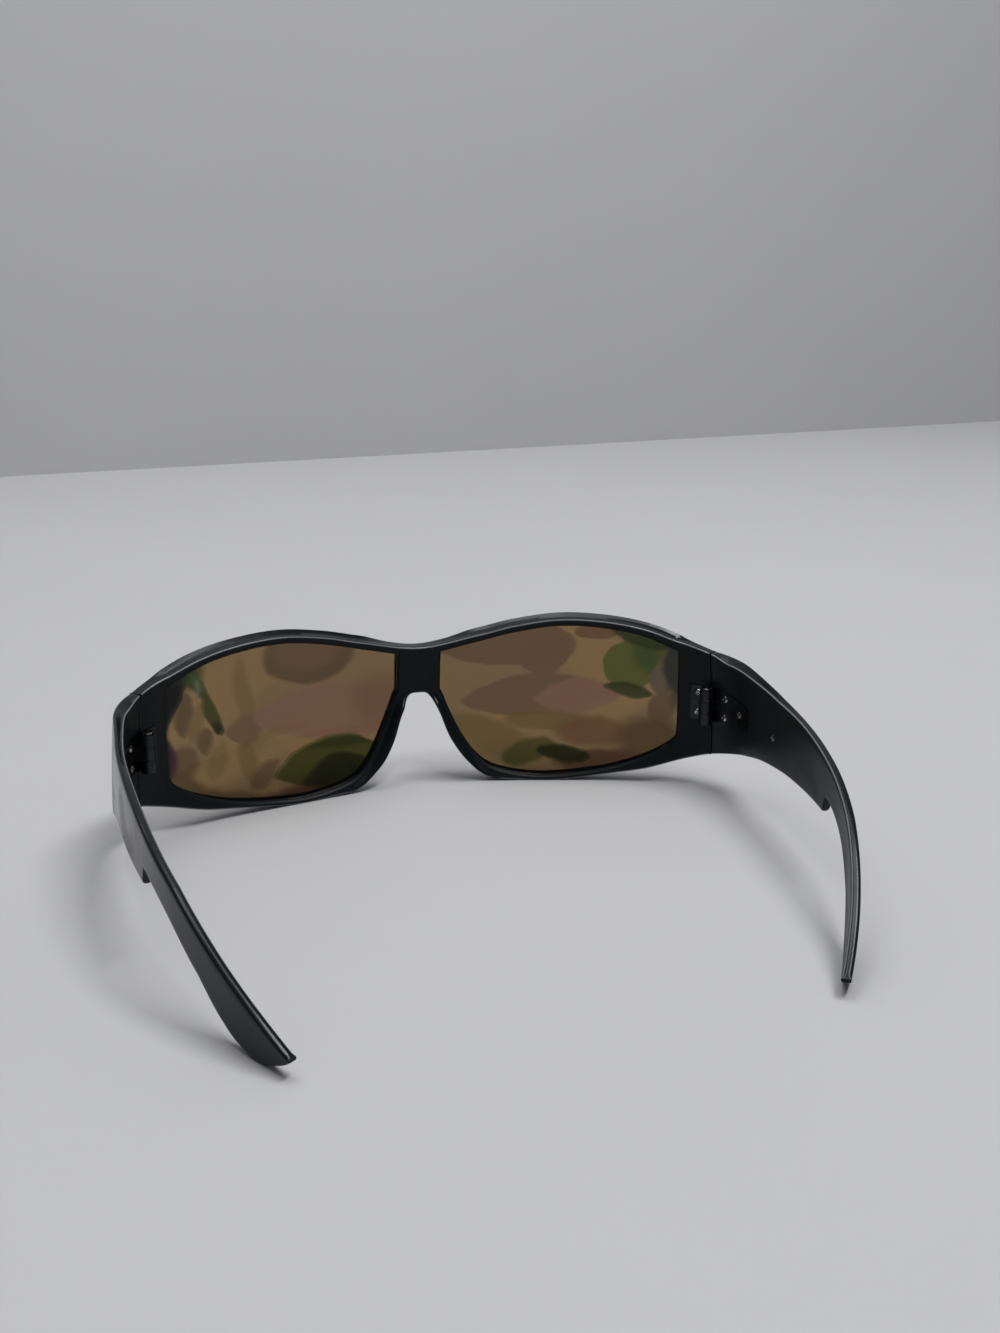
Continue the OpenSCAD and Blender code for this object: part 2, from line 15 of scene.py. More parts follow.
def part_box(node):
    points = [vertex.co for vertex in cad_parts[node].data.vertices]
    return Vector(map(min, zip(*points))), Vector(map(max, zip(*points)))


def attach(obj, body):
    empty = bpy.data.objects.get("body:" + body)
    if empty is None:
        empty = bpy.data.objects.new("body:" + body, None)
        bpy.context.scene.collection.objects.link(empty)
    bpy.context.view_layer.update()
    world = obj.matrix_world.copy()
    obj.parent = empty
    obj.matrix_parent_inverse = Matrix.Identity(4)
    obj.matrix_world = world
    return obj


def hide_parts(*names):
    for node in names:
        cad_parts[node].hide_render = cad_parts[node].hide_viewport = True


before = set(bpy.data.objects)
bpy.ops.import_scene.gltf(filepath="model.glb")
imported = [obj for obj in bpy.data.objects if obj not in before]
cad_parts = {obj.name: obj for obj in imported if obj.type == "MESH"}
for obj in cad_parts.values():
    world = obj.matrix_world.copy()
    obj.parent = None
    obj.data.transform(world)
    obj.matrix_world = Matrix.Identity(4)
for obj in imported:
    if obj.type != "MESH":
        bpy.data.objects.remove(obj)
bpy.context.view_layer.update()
MM = 0.001
SIDES = {"left": 1, "right": -1}

# %% [markdown]
# ## The camera
# The eye stands above and behind the left temple's tip and looks down at the inside of the lenses.
# Its place was worked out from the lens corners, the seams and the tips, so the perspective, and not
# only the direction, agrees with the photograph.

# %% Camera
EYE = Vector((74.24, 270.67, 130.83))
LOOK_AT = Vector((8.12, 40.14, 60.22))
ROLL = math.radians(0.52)
LENS_MM = 37.94
NEAR_CLIP = 0.01


def new_object(name, data):
    thing = bpy.data.objects.new(name, data)
    bpy.context.scene.collection.objects.link(thing)
    return thing


def aim(thing, place, target, roll=0):
    """Stands a camera or a lamp at a place in millimetres and turns it towards another."""
    thing.location = place * MM
    thing.rotation_mode = "QUATERNION"
    thing.rotation_quaternion = (target - place).to_track_quat("-Z", "Y") @ Quaternion((0, 0, 1), roll)


camera = new_object("camera", bpy.data.cameras.new("camera"))
aim(camera, EYE, LOOK_AT, ROLL)
camera.data.lens = LENS_MM
camera.data.clip_start = NEAR_CLIP
bpy.context.scene.camera = camera
bpy.context.view_layer.update()
print("camera right axis", [round(v, 4) for v in camera.matrix_world.col[0][:3]])

# %% [markdown]
# ## The plan curve
# Seen from above, front and temples follow one chain of arcs that always turns the same way: a flat
# arc over the nose, a rounder one along each lens, a tight one at the corner of the head, and two
# long ones along the temple. A place on the sunglasses is an arc length from the nose, a height, and a
# depth towards the outer face. Drawing a piece in those three numbers and wrapping it at the end is
# how a flat pattern becomes a curved frame.

# %% Plan curve and wrapping
ARCS = [(20, 145), (47, 108), (21.4, 22), (48.6, 226), (50, 118)]
NOSE_ARC, LENS_ARC, CORNER_ARC = (length for length, radius in ARCS[:3])
CORNER_RADIUS = ARCS[2][1]
TEMPLE_END = sum(length for length, radius in ARCS)
SEAM_PLACE = 76
HINGE_HEIGHT = 22
# The crown is how far the front curves back at a reach above and below its middle height. Towards the
# seam the front flattens, and past it the lean and the tilt die out.
CROWN, CROWN_HEIGHT, CROWN_REACH, CROWN_LOSS = 4.4, 22, 20, 0.8
FRONT_TILT, SIDE_LEAN = math.radians(2), math.radians(4.8)
FLAT_START, FLAT_END = NOSE_ARC + LENS_ARC - 8, SEAM_PLACE + 2
LEAN_END, TILT_END = SEAM_PLACE + 1.5 * CORNER_ARC, SEAM_PLACE + 30


def smooth(s, start, end):
    """Rises from 0 to 1 between two places, level at both."""
    t = np.clip((np.asarray(s, float) - start) / (end - start), 0, 1)
    return t * t * (3 - 2 * t)


def plan(s):
    """X, Y and heading of the plan curve at arc lengths s."""
    s = np.atleast_1d(np.asarray(s, float))
    x, y, heading = (np.zeros_like(s) for _ in range(3))
    start = 0
    for number, (length, radius) in enumerate(ARCS):
        last = number == len(ARCS) - 1
        run = np.clip(s - start, 0, None if last else length)
        after = heading + run / radius
        x = x + radius * (np.sin(after) - np.sin(heading))
        y = y + radius * (np.cos(heading) - np.cos(after))
        heading = after
        start += length
    return x, y, heading


def inset(s, z):
    """How far the back face curves in at a height."""
    flat = smooth(s, FLAT_START, FLAT_END)
    rise = (z - CROWN_HEIGHT) / CROWN_REACH
    lean = flat * math.tan(SIDE_LEAN) * (1 - smooth(s, SEAM_PLACE, LEAN_END))
    return CROWN * (1 - CROWN_LOSS * flat) * rise * rise + lean * (z - HINGE_HEIGHT)


def wrap_raw(places):
    """Points in space for an array of [arc length, height, depth]."""
    s, z, w = (places[..., i] for i in range(3))
    x, y, heading = (v.reshape(s.shape) for v in plan(s.ravel()))
    off = inset(s, z) - w
    tilt = math.tan(FRONT_TILT) * (1 - smooth(s, SEAM_PLACE, TILT_END)) * (z - HINGE_HEIGHT)
    return np.stack([x - off * np.sin(heading), y + off * np.cos(heading) - tilt, z], axis=-1)


# The frame says where the hinge axis stands, and that fixes the whole curve in space.
HINGE_OFFSET = 2.3
KNUCKLE_HEIGHT = 3
screw_low, screw_high = (np.array(corner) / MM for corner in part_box("hinge_screw_left"))
seam_x, seam_y, seam_heading = (v[0] for v in plan(SEAM_PLACE))
SHIFT = np.array([
    0,
    (screw_low[1] + screw_high[1]) / 2 - (seam_y + HINGE_OFFSET * math.cos(seam_heading)),
    screw_low[2] - (HINGE_HEIGHT - 1.5 * KNUCKLE_HEIGHT),
])


def wrap(places):
    return wrap_raw(places) + SHIFT


axis_x = (screw_low[0] + screw_high[0]) / 2
print("shift of the curve", SHIFT.round(3), "mm, hinge axis at x", round(axis_x, 2))

# %% [markdown]
# ## From rings of points to a clean mesh
# Front and temples are skins through rings of points. Each ring is first rounded: between two points
# runs a cubic whose ends lean along their neighbours, so flats stay flat and edges get the soft
# radius of a moulding. Faces are quads, which take smooth shading well.

# %% Mesh helpers
SKIN_CREASE, CARVED_CREASE, STEEL_CREASE = (math.radians(angle) for angle in (38, 30, 32))
DOUBLES, ON_PLANE_DOUBLES, DEGENERATE = 1e-7, 2e-6, 1e-8
PLASTIC_SLOTS = 3


def rounded(rings, steps, sharp=()):
    """Adds points between the points of each closed ring, steps[i] from point i to the next."""
    count = rings.shape[1]
    before, after = np.roll(rings, 1, axis=1), np.roll(rings, -1, axis=1)
    lean = after - before
    lean /= np.maximum(np.linalg.norm(lean, axis=-1, keepdims=True), 1e-9)
    columns = []
    for i in range(count):
        j = (i + 1) % count
        a, b = rings[:, i], rings[:, j]
        chord = b - a
        length = np.linalg.norm(chord, axis=-1, keepdims=True)
        lean_a = chord if i in sharp else lean[:, i] * length
        lean_b = chord if j in sharp else lean[:, j] * length
        for t in np.arange(steps[i]) / steps[i]:
            columns.append(
                (2 * t**3 - 3 * t**2 + 1) * a + (t**3 - 2 * t**2 + t) * lean_a
                + (3 * t**2 - 2 * t**3) * b + (t**3 - t**2) * lean_b
            )
    return np.stack(columns, axis=1)


def new_piece(name, points, faces, mirrored=False):
    """A mesh object from points in millimetres, on the left, or mirrored to the right."""
    mesh = bpy.data.meshes.new(name)
    points = np.array(points, float) * MM
    if mirrored:
        points[:, 0] *= -1
        faces = [tuple(reversed(face)) for face in faces]
    mesh.from_pydata(points.tolist(), [], [tuple(int(i) for i in face) for face in faces])
    mesh.update()
    return new_object(name, mesh)


def open_mesh(piece):
    shape = bmesh.new()
    shape.from_mesh(piece.data)
    return shape


def close_mesh(shape, piece):
    shape.to_mesh(piece.data)
    shape.free()
    piece.data.update()


def apply_modifiers(piece):
    """Makes what the modifiers give the piece's own mesh and takes them off."""
    bpy.context.view_layer.update()
    made = piece.evaluated_get(bpy.context.evaluated_depsgraph_get())
    mesh = bpy.data.meshes.new_from_object(made)
    piece.modifiers.clear()
    piece.data = mesh


def tidy_mesh(piece, crease=SKIN_CREASE, merge=DOUBLES):
    """Merges doubles, turns the faces outwards and shades smooth up to an angle."""
    shape = open_mesh(piece)
    bmesh.ops.remove_doubles(shape, verts=shape.verts, dist=merge)
    bmesh.ops.dissolve_degenerate(shape, edges=shape.edges, dist=DEGENERATE)
    bmesh.ops.delete(shape, geom=[edge for edge in shape.edges if edge.is_wire], context="EDGES")
    bmesh.ops.recalc_face_normals(shape, faces=shape.faces)
    for face in shape.faces:
        face.smooth = True
    for edge in shape.edges:
        edge.smooth = edge.calc_face_angle(0) < crease
    faces, volume = len(shape.faces), shape.calc_volume(signed=True) / MM**3
    open_edges = sum(not edge.is_manifold for edge in shape.edges)
    close_mesh(shape, piece)
    print(f"{piece.name}: {faces} faces, {volume:.0f} mm3, {open_edges} open edges")
    return piece


def carve(piece, cutter):
    """Cuts one closed mesh out of another and deletes the cutter."""
    # The faces keep their material numbers through the cut only where the slots exist.
    while len(piece.data.materials) < PLASTIC_SLOTS:
        piece.data.materials.append(None)
    cut = piece.modifiers.new("cut", "BOOLEAN")
    cut.operation, cut.solver, cut.object = "DIFFERENCE", "EXACT", cutter
    apply_modifiers(piece)
    bpy.data.objects.remove(cutter)


# %% [markdown]
# ## The front
# The real front is one nylon moulding: a rim round both lenses with a groove inside it, a bridge, and
# two legs that stand off the nose on moulded pads. It is drawn as pairs of places, the lens opening
# and the frame's edge beside it, on smooth runs that meet at the front's corners.

# %% Places round one lens
LENS_WIDTH, LENS_HEIGHT = 61.8, 39.3
BRIDGE_WIDTH = 11.2
RIM_TOP, RIM_LOW, LEG_WIDTH = 2, 1.2, 4.2
SEAM_TOP_HEIGHT, SEAM_FOOT_HEIGHT = 35.6, 8.6
SEAM_MIDDLE_HEIGHT = (2 * SEAM_TOP_HEIGHT + SEAM_FOOT_HEIGHT) / 3
BRIDGE_TOP = 1.6
FINER = 4
ON_MIDDLE = 0.001


def opening(across, up):
    return np.array([BRIDGE_WIDTH / 2 + across * LENS_WIDTH, RIM_LOW + up * LENS_HEIGHT])


def rim(p, width, degrees):
    angle = math.radians(degrees)
    return p + width * np.array([math.cos(angle), math.sin(angle)])


def curve(a, b, c, d, t):
    """A smooth curve through four points, at t from the second to the third."""
    return b + t / 2 * ((c - a) + t * ((2 * a - 5 * b + 4 * c - d) + t * (3 * b - a - 3 * c + d)))


def lead(end, following):
    """The point before a curve's end, mirrored where the curve starts on the middle plane."""
    return np.array([-following[0], following[1]]) if end[0] < ON_MIDDLE else 2 * end - following


def along(points, t):
    last = len(points) - 1
    i = min(last - 1, int(t))
    before = points[i - 1] if i > 0 else lead(points[0], points[1])
    after = points[i + 2] if i < last - 1 else lead(points[last], points[last - 1])
    return curve(before, points[i], points[i + 1], after, t - i)


def edge_row(rows):
    return [(opening(u, v), rim(opening(u, v), width, angle)) for u, v, angle, width in rows]


nose_top = (opening(0, 0.835), np.array([0, opening(0, 0.835)[1] + BRIDGE_TOP]))
brow_end = (opening(0.975, 0.869), rim(opening(0.975, 0.869), RIM_TOP * 1.3, 72))
seam_top = (opening(0.992, 0.853), np.array([SEAM_PLACE, SEAM_TOP_HEIGHT]))
seam_middle = (opening(0.991, 0.6), np.array([SEAM_PLACE, SEAM_MIDDLE_HEIGHT]))
seam_foot = (opening(0.991, 0.36), np.array([SEAM_PLACE, SEAM_FOOT_HEIGHT]))
nose_foot = (opening(0, 0.578), np.array([0, opening(0, 0.557)[1]]))
brow = [nose_top] + edge_row(
    [(u, v, angle, RIM_TOP * share) for u, v, angle, share in [
        (0.155, 0.893, 104, 1), (0.317, 0.956, 100, 1), (0.5, 1, 92, 1),
        (0.688, 0.99, 84, 1.03), (0.846, 0.947, 78, 1.1)]]) + [brow_end]
cheek = [seam_foot] + edge_row(
    [(u, v, angle, RIM_LOW + more) for u, v, angle, more in [
        (0.984, 0.272, -43.3, 5.8), (0.93, 0.195, -43.5, 3.5), (0.833, 0.117, -65, 1.45),
        (0.692, 0.048, -75, 0.15), (0.5, 0.006, -90, 0), (0.36, 0.007, -104, 0.2)]]
    + [(u, v, angle, LEG_WIDTH * share) for u, v, angle, share in [
        (0.222, 0.051, -130, 0.64), (0.145, 0.135, -156, 0.657), (0.087, 0.27, -175, 0.8),
        (0.037, 0.437, -182, 0.72), (0.012, 0.54, -180.8, 0.89)]]) + [nose_foot]
runs = [(brow, 4 * FINER), ([brow_end, seam_top], 4 * FINER),
        ([seam_top, seam_middle, seam_foot], 5 * FINER), (cheek, 4 * FINER), ([nose_foot, nose_top], 9)]
stations = [
    tuple(along([row[side] for row in places], i + j / steps) for side in (0, 1))
    for places, steps in runs for i in range(len(places) - 1) for j in range(steps)
]
COUNT = len(stations)
print("stations round a lens", COUNT)

# %% [markdown]
# ## The rim's cross-section
# Eighteen points go once round the rim: the bevelled lip behind the lens, the groove that holds it,
# the outer face, the rounded outer edge, the back edge that swells into the nose pad, and the flat
# back face. The brow's outer edge stands a little above its back edge, which is what makes the dark
# band over each lens.

# %% Front skin
FRONT_DEPTH, DEPTH_TAPER, SEAM_DEPTH = 4.8, 0.7, 3.1
DEPTH_START = NOSE_ARC + LENS_ARC - 7
BROW_FLARE, FLARE_RUN, EDGE_ROUND, SEAM_ROUND, LIP_BEVEL = 0.9, 6, 0.7, 0.2, 0.45
PAD_DEPTH, PAD_RAKE = 2.4, 1.8
# The pads' places are shares of the lens's width and height.
PAD_REACH, PAD_FOOT, PAD_TOP_START, PAD_TOP_END = 0.3, 0.22, 0.495, 0.585
LENS_THICKNESS, GROOVE_DEPTH, LENS_CLEARANCE, LENS_SEAT = 1.8, 0.65, 0.1, 2.2
PROFILE_STEPS = [3, 2, 1, 1, 1, 2, 3, 4, 4, 3, 3, 2, 2, 3, 3, 3, 2, 2]
GROOVE_CORNERS = (2, 3, 4, 5)
EDGE_FIRST, EDGE_LAST = 9, 15


def on_middle(k):
    return stations[k % COUNT][1][0] < ON_MIDDLE


def unit(v):
    return v / np.linalg.norm(v)


def inward(k):
    """Way in from the frame's edge: up or down on the middle plane, square to the edge elsewhere."""
    if on_middle(k):
        if on_middle(k + 1) and on_middle(k - 1):
            return np.zeros(2)
        return np.array([0, 1 if on_middle(k + 1) else -1])
    v = unit(stations[(k + 1) % COUNT][1] - stations[k - 1][1])
    return np.array([v[1], -v[0]])


def depth(p):
    full = FRONT_DEPTH - DEPTH_TAPER * (1 - p[1] / LENS_HEIGHT)
    return full + (SEAM_DEPTH - full) * smooth(p[0], DEPTH_START, SEAM_PLACE)


def pad_share(k):
    """How much of a nose pad a station has: all on the leg, none at the bridge or the cheek."""
    inner, edge = stations[k]
    if on_middle(k) or inner[0] > BRIDGE_WIDTH / 2 + PAD_REACH * LENS_WIDTH:
        return 0
    fade = 1 - smooth(edge[1], PAD_TOP_START * LENS_HEIGHT, PAD_TOP_END * LENS_HEIGHT)
    return smooth(edge[1], 0, PAD_FOOT * LENS_HEIGHT) * fade


def section(k):
    """The ring of points across the rim at one station, as [arc length, height, depth]."""
    a, e = stations[k]
    out, way_in, p = unit(e - a), inward(k), pad_share(k)
    wide = np.linalg.norm(e - a) - LIP_BEVEL
    r = SEAM_ROUND if e[0] > SEAM_PLACE - ON_MIDDLE else min(EDGE_ROUND, 0.6 * wide)
    mid = (a + e) / 2
    full, edge, lip = depth(mid), depth(e), depth(a)
    half_groove = LENS_THICKNESS / 2 + LENS_CLEARANCE
    groove_back, groove_front = LENS_SEAT - half_groove, LENS_SEAT + half_groove
    flare = 0 if on_middle(k) else BROW_FLARE * max(0, out[1]) ** 2 * smooth(e[0], 0, FLARE_RUN)
    deep, bevel = a + GROOVE_DEPTH * out, a + LIP_BEVEL * out
    rake = p * min(PAD_RAKE, 0.45 * wide)
    corner = e + (r - flare + rake) * way_in
    # The bare numbers are shares of the edge's radius, of the pad's depth and of its rake.
    profile = [
        (bevel, 0), (a, LIP_BEVEL), (a, groove_back), (deep, groove_back),
        (deep, groove_front), (a, groove_front), (a, lip - LIP_BEVEL), (bevel, lip),
        ((bevel + corner) / 2, full),
        (corner, edge), (e + (0.3 * r - flare + rake) * way_in, edge - 0.3 * r),
        (e + (rake - flare) * way_in, edge - r),
        (e + 0.7 * rake * way_in, edge / 2),
        (e, (1 - p) * r - 0.7 * p * PAD_DEPTH),
        (e + ((1 - p) * 0.3 * r + 0.35 * p) * way_in, (1 - p) * 0.3 * r - p * PAD_DEPTH),
        (e + ((1 - p) * r + 1.1 * p) * way_in, -0.8 * p * PAD_DEPTH),
        (mid + 0.3 * p * way_in, -0.15 * p * PAD_DEPTH), ((mid + bevel) / 2, 0),
    ]
    return [[place[0], place[1], w] for place, w in profile]


front_rings = np.array([section(k) for k in range(COUNT)], float)
front_fine = rounded(front_rings, PROFILE_STEPS, GROOVE_CORNERS)
flat_fine = rounded(front_rings, PROFILE_STEPS, range(len(PROFILE_STEPS)))
for k in range(COUNT):
    if on_middle(k) and on_middle(k + 1) and on_middle(k - 1):
        front_fine[k] = flat_fine[k]
edge_first, edge_last = sum(PROFILE_STEPS[:EDGE_FIRST]), sum(PROFILE_STEPS[:EDGE_LAST])
ring_size = front_fine.shape[1]
front_points = wrap(front_fine).reshape(-1, 3)
front_faces = []
for k in range(COUNT):
    for m in range(ring_size):
        k2, m2 = (k + 1) % COUNT, (m + 1) % ring_size
        if on_middle(k) and on_middle(k + 1) and edge_first <= m < edge_last:
            continue
        here, there = k * ring_size, k2 * ring_size
        front_faces.append((here + m, here + m2, there + m2, there + m))
mirror_points = front_points * [-1, 1, 1]
mirror_faces = [tuple(i + len(front_points) for i in reversed(face)) for face in front_faces]
front = new_piece("front", np.vstack([front_points, mirror_points]), front_faces + mirror_faces)
# The back faces and the lip behind the lens are dull. A painted highlight, a grey line, follows their
# outer edge, but not over the pads or down the seam.
DULL, PAINTED_HIGHLIGHT = range(1, PLASTIC_SLOTS)
PAINTED_HIGHLIGHT_COLUMNS = range(edge_last - 4, edge_last - 2)
PAD_BARELY, SEAM_BARE = 0.01, 0.5
for face, corners in zip(front.data.polygons, front_faces + front_faces):
    column = min(corners[0] % ring_size, corners[2] % ring_size)
    station = corners[0] // ring_size % COUNT
    highlighted = pad_share(station) <= PAD_BARELY and stations[station][1][0] < SEAM_PLACE - SEAM_BARE
    if highlighted and column in PAINTED_HIGHLIGHT_COLUMNS:
        face.material_index = PAINTED_HIGHLIGHT
    elif column >= edge_last or column < PROFILE_STEPS[0]:
        face.material_index = DULL
tidy_mesh(front, merge=ON_PLANE_DOUBLES)

# %% [markdown]
# ## The temples
# Each temple is a wide wall behind the hinge that follows the corner of the head, steps up at a small
# notch, and runs on as a narrow tip that drops to the table. A ring of sixteen points is swept along
# the plan curve between a lower and an upper edge.

# %% Temple edges
TEMPLE_DEPTH, THICKNESS_RUN, TEMPLE_FLARE, LEAST_CAP = 1.9, 25, 1.1, 0.03
# The flare rises and falls at these shares of the panel's length.
FLARE_FULL, FLARE_FALL, FLARE_OUT = 0.1, 0.25, 0.8
PANEL_LENGTH, BELLY_RISE, STEP_HEIGHT, STEP_RUN = 59, 7.4, 3.7, 2.4
TIP_HEIGHT, TIP_CAP = 8.6, 9
SEAM_GAP = 0.25
STEP_PLACE = SEAM_PLACE + PANEL_LENGTH
temple_length = TEMPLE_END - SEAM_PLACE
tip_length = TEMPLE_END - STEP_PLACE
notch_top = SEAM_FOOT_HEIGHT + BELLY_RISE + STEP_HEIGHT


def edge_points(start, height, length, rise, shares):
    """Points of one edge from shares of its length and rise."""
    return np.array([[start + u * length, height + v * rise] for u, v in shares])


top_row = edge_points(SEAM_PLACE, SEAM_TOP_HEIGHT, temple_length, TIP_HEIGHT - SEAM_TOP_HEIGHT, [
    (0, 0), (0.136, 0.045), (0.271, 0.12), (0.484, 0.225), (0.697, 0.44), (0.843, 0.72), (1, 1.085)])
belly_row = edge_points(SEAM_PLACE, SEAM_FOOT_HEIGHT, PANEL_LENGTH, BELLY_RISE, [
    (0, 0), (0.17, 0.37), (0.37, 0.73), (0.61, 0.95), (1, 1.02), (1.3, 0.84)])
tip_row = edge_points(STEP_PLACE, 0, tip_length, notch_top, [
    (-0.187, 1.06), (0.075, 1), (0.298, 0.84), (0.523, 0.53), (0.671, 0.24), (0.769, 0.12), (0.85, 0.09),
    (1, 0.1)])
print("temple", temple_length, "mm long, of which the tip", tip_length)


def height_at(row, s):
    i = 0
    while i < len(row) - 2 and s > row[i + 1][0]:
        i += 1
    return along(row, i + (s - row[i][0]) / (row[i + 1][0] - row[i][0]))[1]


def foot_edge(s):
    e = smooth(s, STEP_PLACE, STEP_PLACE + STEP_RUN)
    low = height_at(belly_row, s)
    return low if e == 0 else (1 - e) * low + e * height_at(tip_row, s)


def temple_ring(s, bevel):
    """The ring of points across the temple at arc length s, drawn in by a bevel and at the tip's end."""
    low, high = foot_edge(s), height_at(top_row, s)
    centre = 0.1 * low + 0.9 * high
    q = max(0, (s - TEMPLE_END + TIP_CAP) / TIP_CAP)
    left = math.sqrt(max(LEAST_CAP, 1 - q * q))
    low, high = centre + (low - centre) * left + bevel, centre + (high - centre) * left - bevel
    thick = SEAM_DEPTH + (TEMPLE_DEPTH - SEAM_DEPTH) * smooth(s, SEAM_PLACE, SEAM_PLACE + THICKNESS_RUN)
    t0, t1 = bevel, thick - bevel
    r = min(EDGE_ROUND, (t1 - t0) * 0.4, (high - low) * 0.4)
    full, fall, out = (SEAM_PLACE + share * PANEL_LENGTH for share in (FLARE_FULL, FLARE_FALL, FLARE_OUT))
    slope = TEMPLE_FLARE * smooth(s, SEAM_PLACE, full) * (1 - smooth(s, fall, out))
    h1, h2, inner = low + (high - low) * 0.35, low + (high - low) * 0.68, high - slope
    ring = [(t0, low + r), (t0, h1), (t0, h2), (t0, inner - r), (t0 + 0.3 * r, inner - 0.3 * r),
            (t0 + r, inner), (t1 - r, high), (t1 - 0.3 * r, high - 0.3 * r), (t1, high - r), (t1, h2),
            (t1, h1), (t1, low + r), (t1 - 0.3 * r, low + 0.3 * r), (t1 - r, low), (t0 + r, low),
            (t0 + 0.3 * r, low + 0.3 * r)]
    return [[s, z, w] for w, z in ring]


# %% Temple skin
TEMPLE_STEPS = [4, 4, 4, 3, 3, 2, 3, 3, 4, 4, 4, 3, 3, 2, 3, 3]
cap_start = TEMPLE_END - TIP_CAP
temple_places = (
    [(SEAM_PLACE + SEAM_GAP + run, bevel) for run, bevel in ((0, 0.2), (0.07, 0.06), (0.2, 0))]
    + [(s, 0) for s in np.linspace(SEAM_PLACE + 1, STEP_PLACE, 70)]
    + [(s, 0) for s in np.linspace(STEP_PLACE, STEP_PLACE + STEP_RUN, 21)[1:]]
    + [(s, 0) for s in np.linspace(STEP_PLACE + STEP_RUN, cap_start, 60)[1:]]
    + [(cap_start + TIP_CAP * math.sin(math.radians(a)), 0) for a in range(6, 91, 6)]
)
temple_rings = np.array([temple_ring(s, bevel) for s, bevel in temple_places], float)
temple_fine = wrap(rounded(temple_rings, TEMPLE_STEPS))
# The tip settles onto the table that the rims stand on.
settle = temple_fine[..., 2].min()
temple_s = np.array([s for s, bevel in temple_places])
temple_fine[..., 2] -= settle * smooth(temple_s, STEP_PLACE + STEP_RUN, cap_start)[:, None]
print("tip settles by", round(float(settle), 3), "mm")

count, size = temple_fine.shape[:2]
arm_faces = [(i * size + m, (i + 1) * size + m, (i + 1) * size + (m + 1) % size, i * size + (m + 1) % size)
             for i in range(count - 1) for m in range(size)]
arm_faces += [tuple(range(size)), tuple((count - 1) * size + m for m in reversed(range(size)))]
arm_left = new_piece("arm_left", temple_fine.reshape(-1, 3), arm_faces)
# The last inner column and the first of the rounded top edge share the painted highlight line.
inner_columns = sum(TEMPLE_STEPS[:4])
for face, corners in zip(arm_left.data.polygons, arm_faces):
    column = corners[0] % size if len(corners) == 4 else size
    if column in (inner_columns - 1, inner_columns):
        face.material_index = PAINTED_HIGHLIGHT
    elif column < inner_columns:
        face.material_index = DULL
tidy_mesh(arm_left)

# %% [markdown]
# ## Pockets for the hinge leaves
# The hinge leaves are let into the plastic, with a hair of room round them. The pocket is a band that
# follows the corner arc, tapered on the temple, so a cutter of the same outline is carved out.

# %% Carve the pockets
LEAF_SINK, LEAF_CLEARANCE, FLOOR_CLEARANCE = 0.55, 0.15, 0.05
FRONT_LEAF, TEMPLE_LEAF, LEAF_END = 5.6, 14, 4
LEAF_TAPER_START = 4
POCKET_RISE, POCKET_STEPS, POCKET_OVERRUN = 4, 25, 0.5
stack_height = 3 * KNUCKLE_HEIGHT


def seam_frame(points):
    """From the seam's own axes, back along the temple and in towards the head, to the place in space."""
    x, y, z = points[..., 0], points[..., 1], points[..., 2]
    c, s = math.cos(seam_heading), math.sin(seam_heading)
    return np.stack([seam_x + x * c - y * s, seam_y + x * s + y * c, z], axis=-1) + SHIFT


def round_corner(s, y, z):
    """A point on the corner arc at arc length s from the seam, y in towards the head."""
    turn = s / CORNER_RADIUS
    radius = CORNER_RADIUS - y
    return [radius * math.sin(turn), CORNER_RADIUS - radius * math.cos(turn), z]


def pocket_cutter(name, start, end, half_heights, mirrored=False):
    """A band along the corner arc; half_heights gives half its height at a place along it."""
    places = np.linspace(start, end, POCKET_STEPS)
    bottom = -LEAF_SINK - FLOOR_CLEARANCE
    corners = ((bottom, -1), (POCKET_RISE, -1), (POCKET_RISE, 1), (bottom, 1))
    rings = [[round_corner(s, y, HINGE_HEIGHT + side * half_heights(s)) for y, side in corners]
             for s in places]
    points = seam_frame(np.array(rings)).reshape(-1, 3)
    faces = [(4 * i + m, 4 * i + (m + 1) % 4, 4 * i + 4 + (m + 1) % 4, 4 * i + 4 + m)
             for i in range(len(places) - 1) for m in range(4)]
    faces += [(3, 2, 1, 0), tuple(4 * (len(places) - 1) + m for m in range(4))]
    cutter = new_piece(name, points, faces, mirrored)
    shape = open_mesh(cutter)
    bmesh.ops.recalc_face_normals(shape, faces=shape.faces)
    close_mesh(shape, cutter)
    return cutter


def front_half_height(s):
    return stack_height / 2 + LEAF_CLEARANCE


def temple_half_height(s):
    x = round_corner(s, 0, 0)[0]
    share = min(1, max(0, (x - LEAF_TAPER_START) / (TEMPLE_LEAF + 1 - LEAF_TAPER_START)))
    return stack_height / 2 + share * (LEAF_END - stack_height) / 2 + LEAF_CLEARANCE


def mirror_image(piece, name):
    """The other side's piece: the same mesh with X turned round and its faces turned back outwards."""
    twin = new_object(name, piece.data.copy())
    twin.data.transform(Matrix.Scale(-1, 4, (1, 0, 0)))
    twin.data.flip_normals()
    return tidy_mesh(twin, CARVED_CREASE)


carve(arm_left, pocket_cutter("cut", -POCKET_OVERRUN, TEMPLE_LEAF + LEAF_CLEARANCE, temple_half_height))
tidy_mesh(arm_left, CARVED_CREASE)
temples = {"left": arm_left, "right": mirror_image(arm_left, "arm_right")}
for side, sign in SIDES.items():
    carve(front, pocket_cutter(
        "cut", -FRONT_LEAF - LEAF_CLEARANCE, POCKET_OVERRUN, front_half_height, sign < 0))
tidy_mesh(front, CARVED_CREASE)

# %% [markdown]
# ## The lenses
# A lens is a shell of even thickness that follows the same wrap as the front and sits in its groove.
# Rings that shrink from the rim to a hub give both faces, and a wall joins them at the rim.

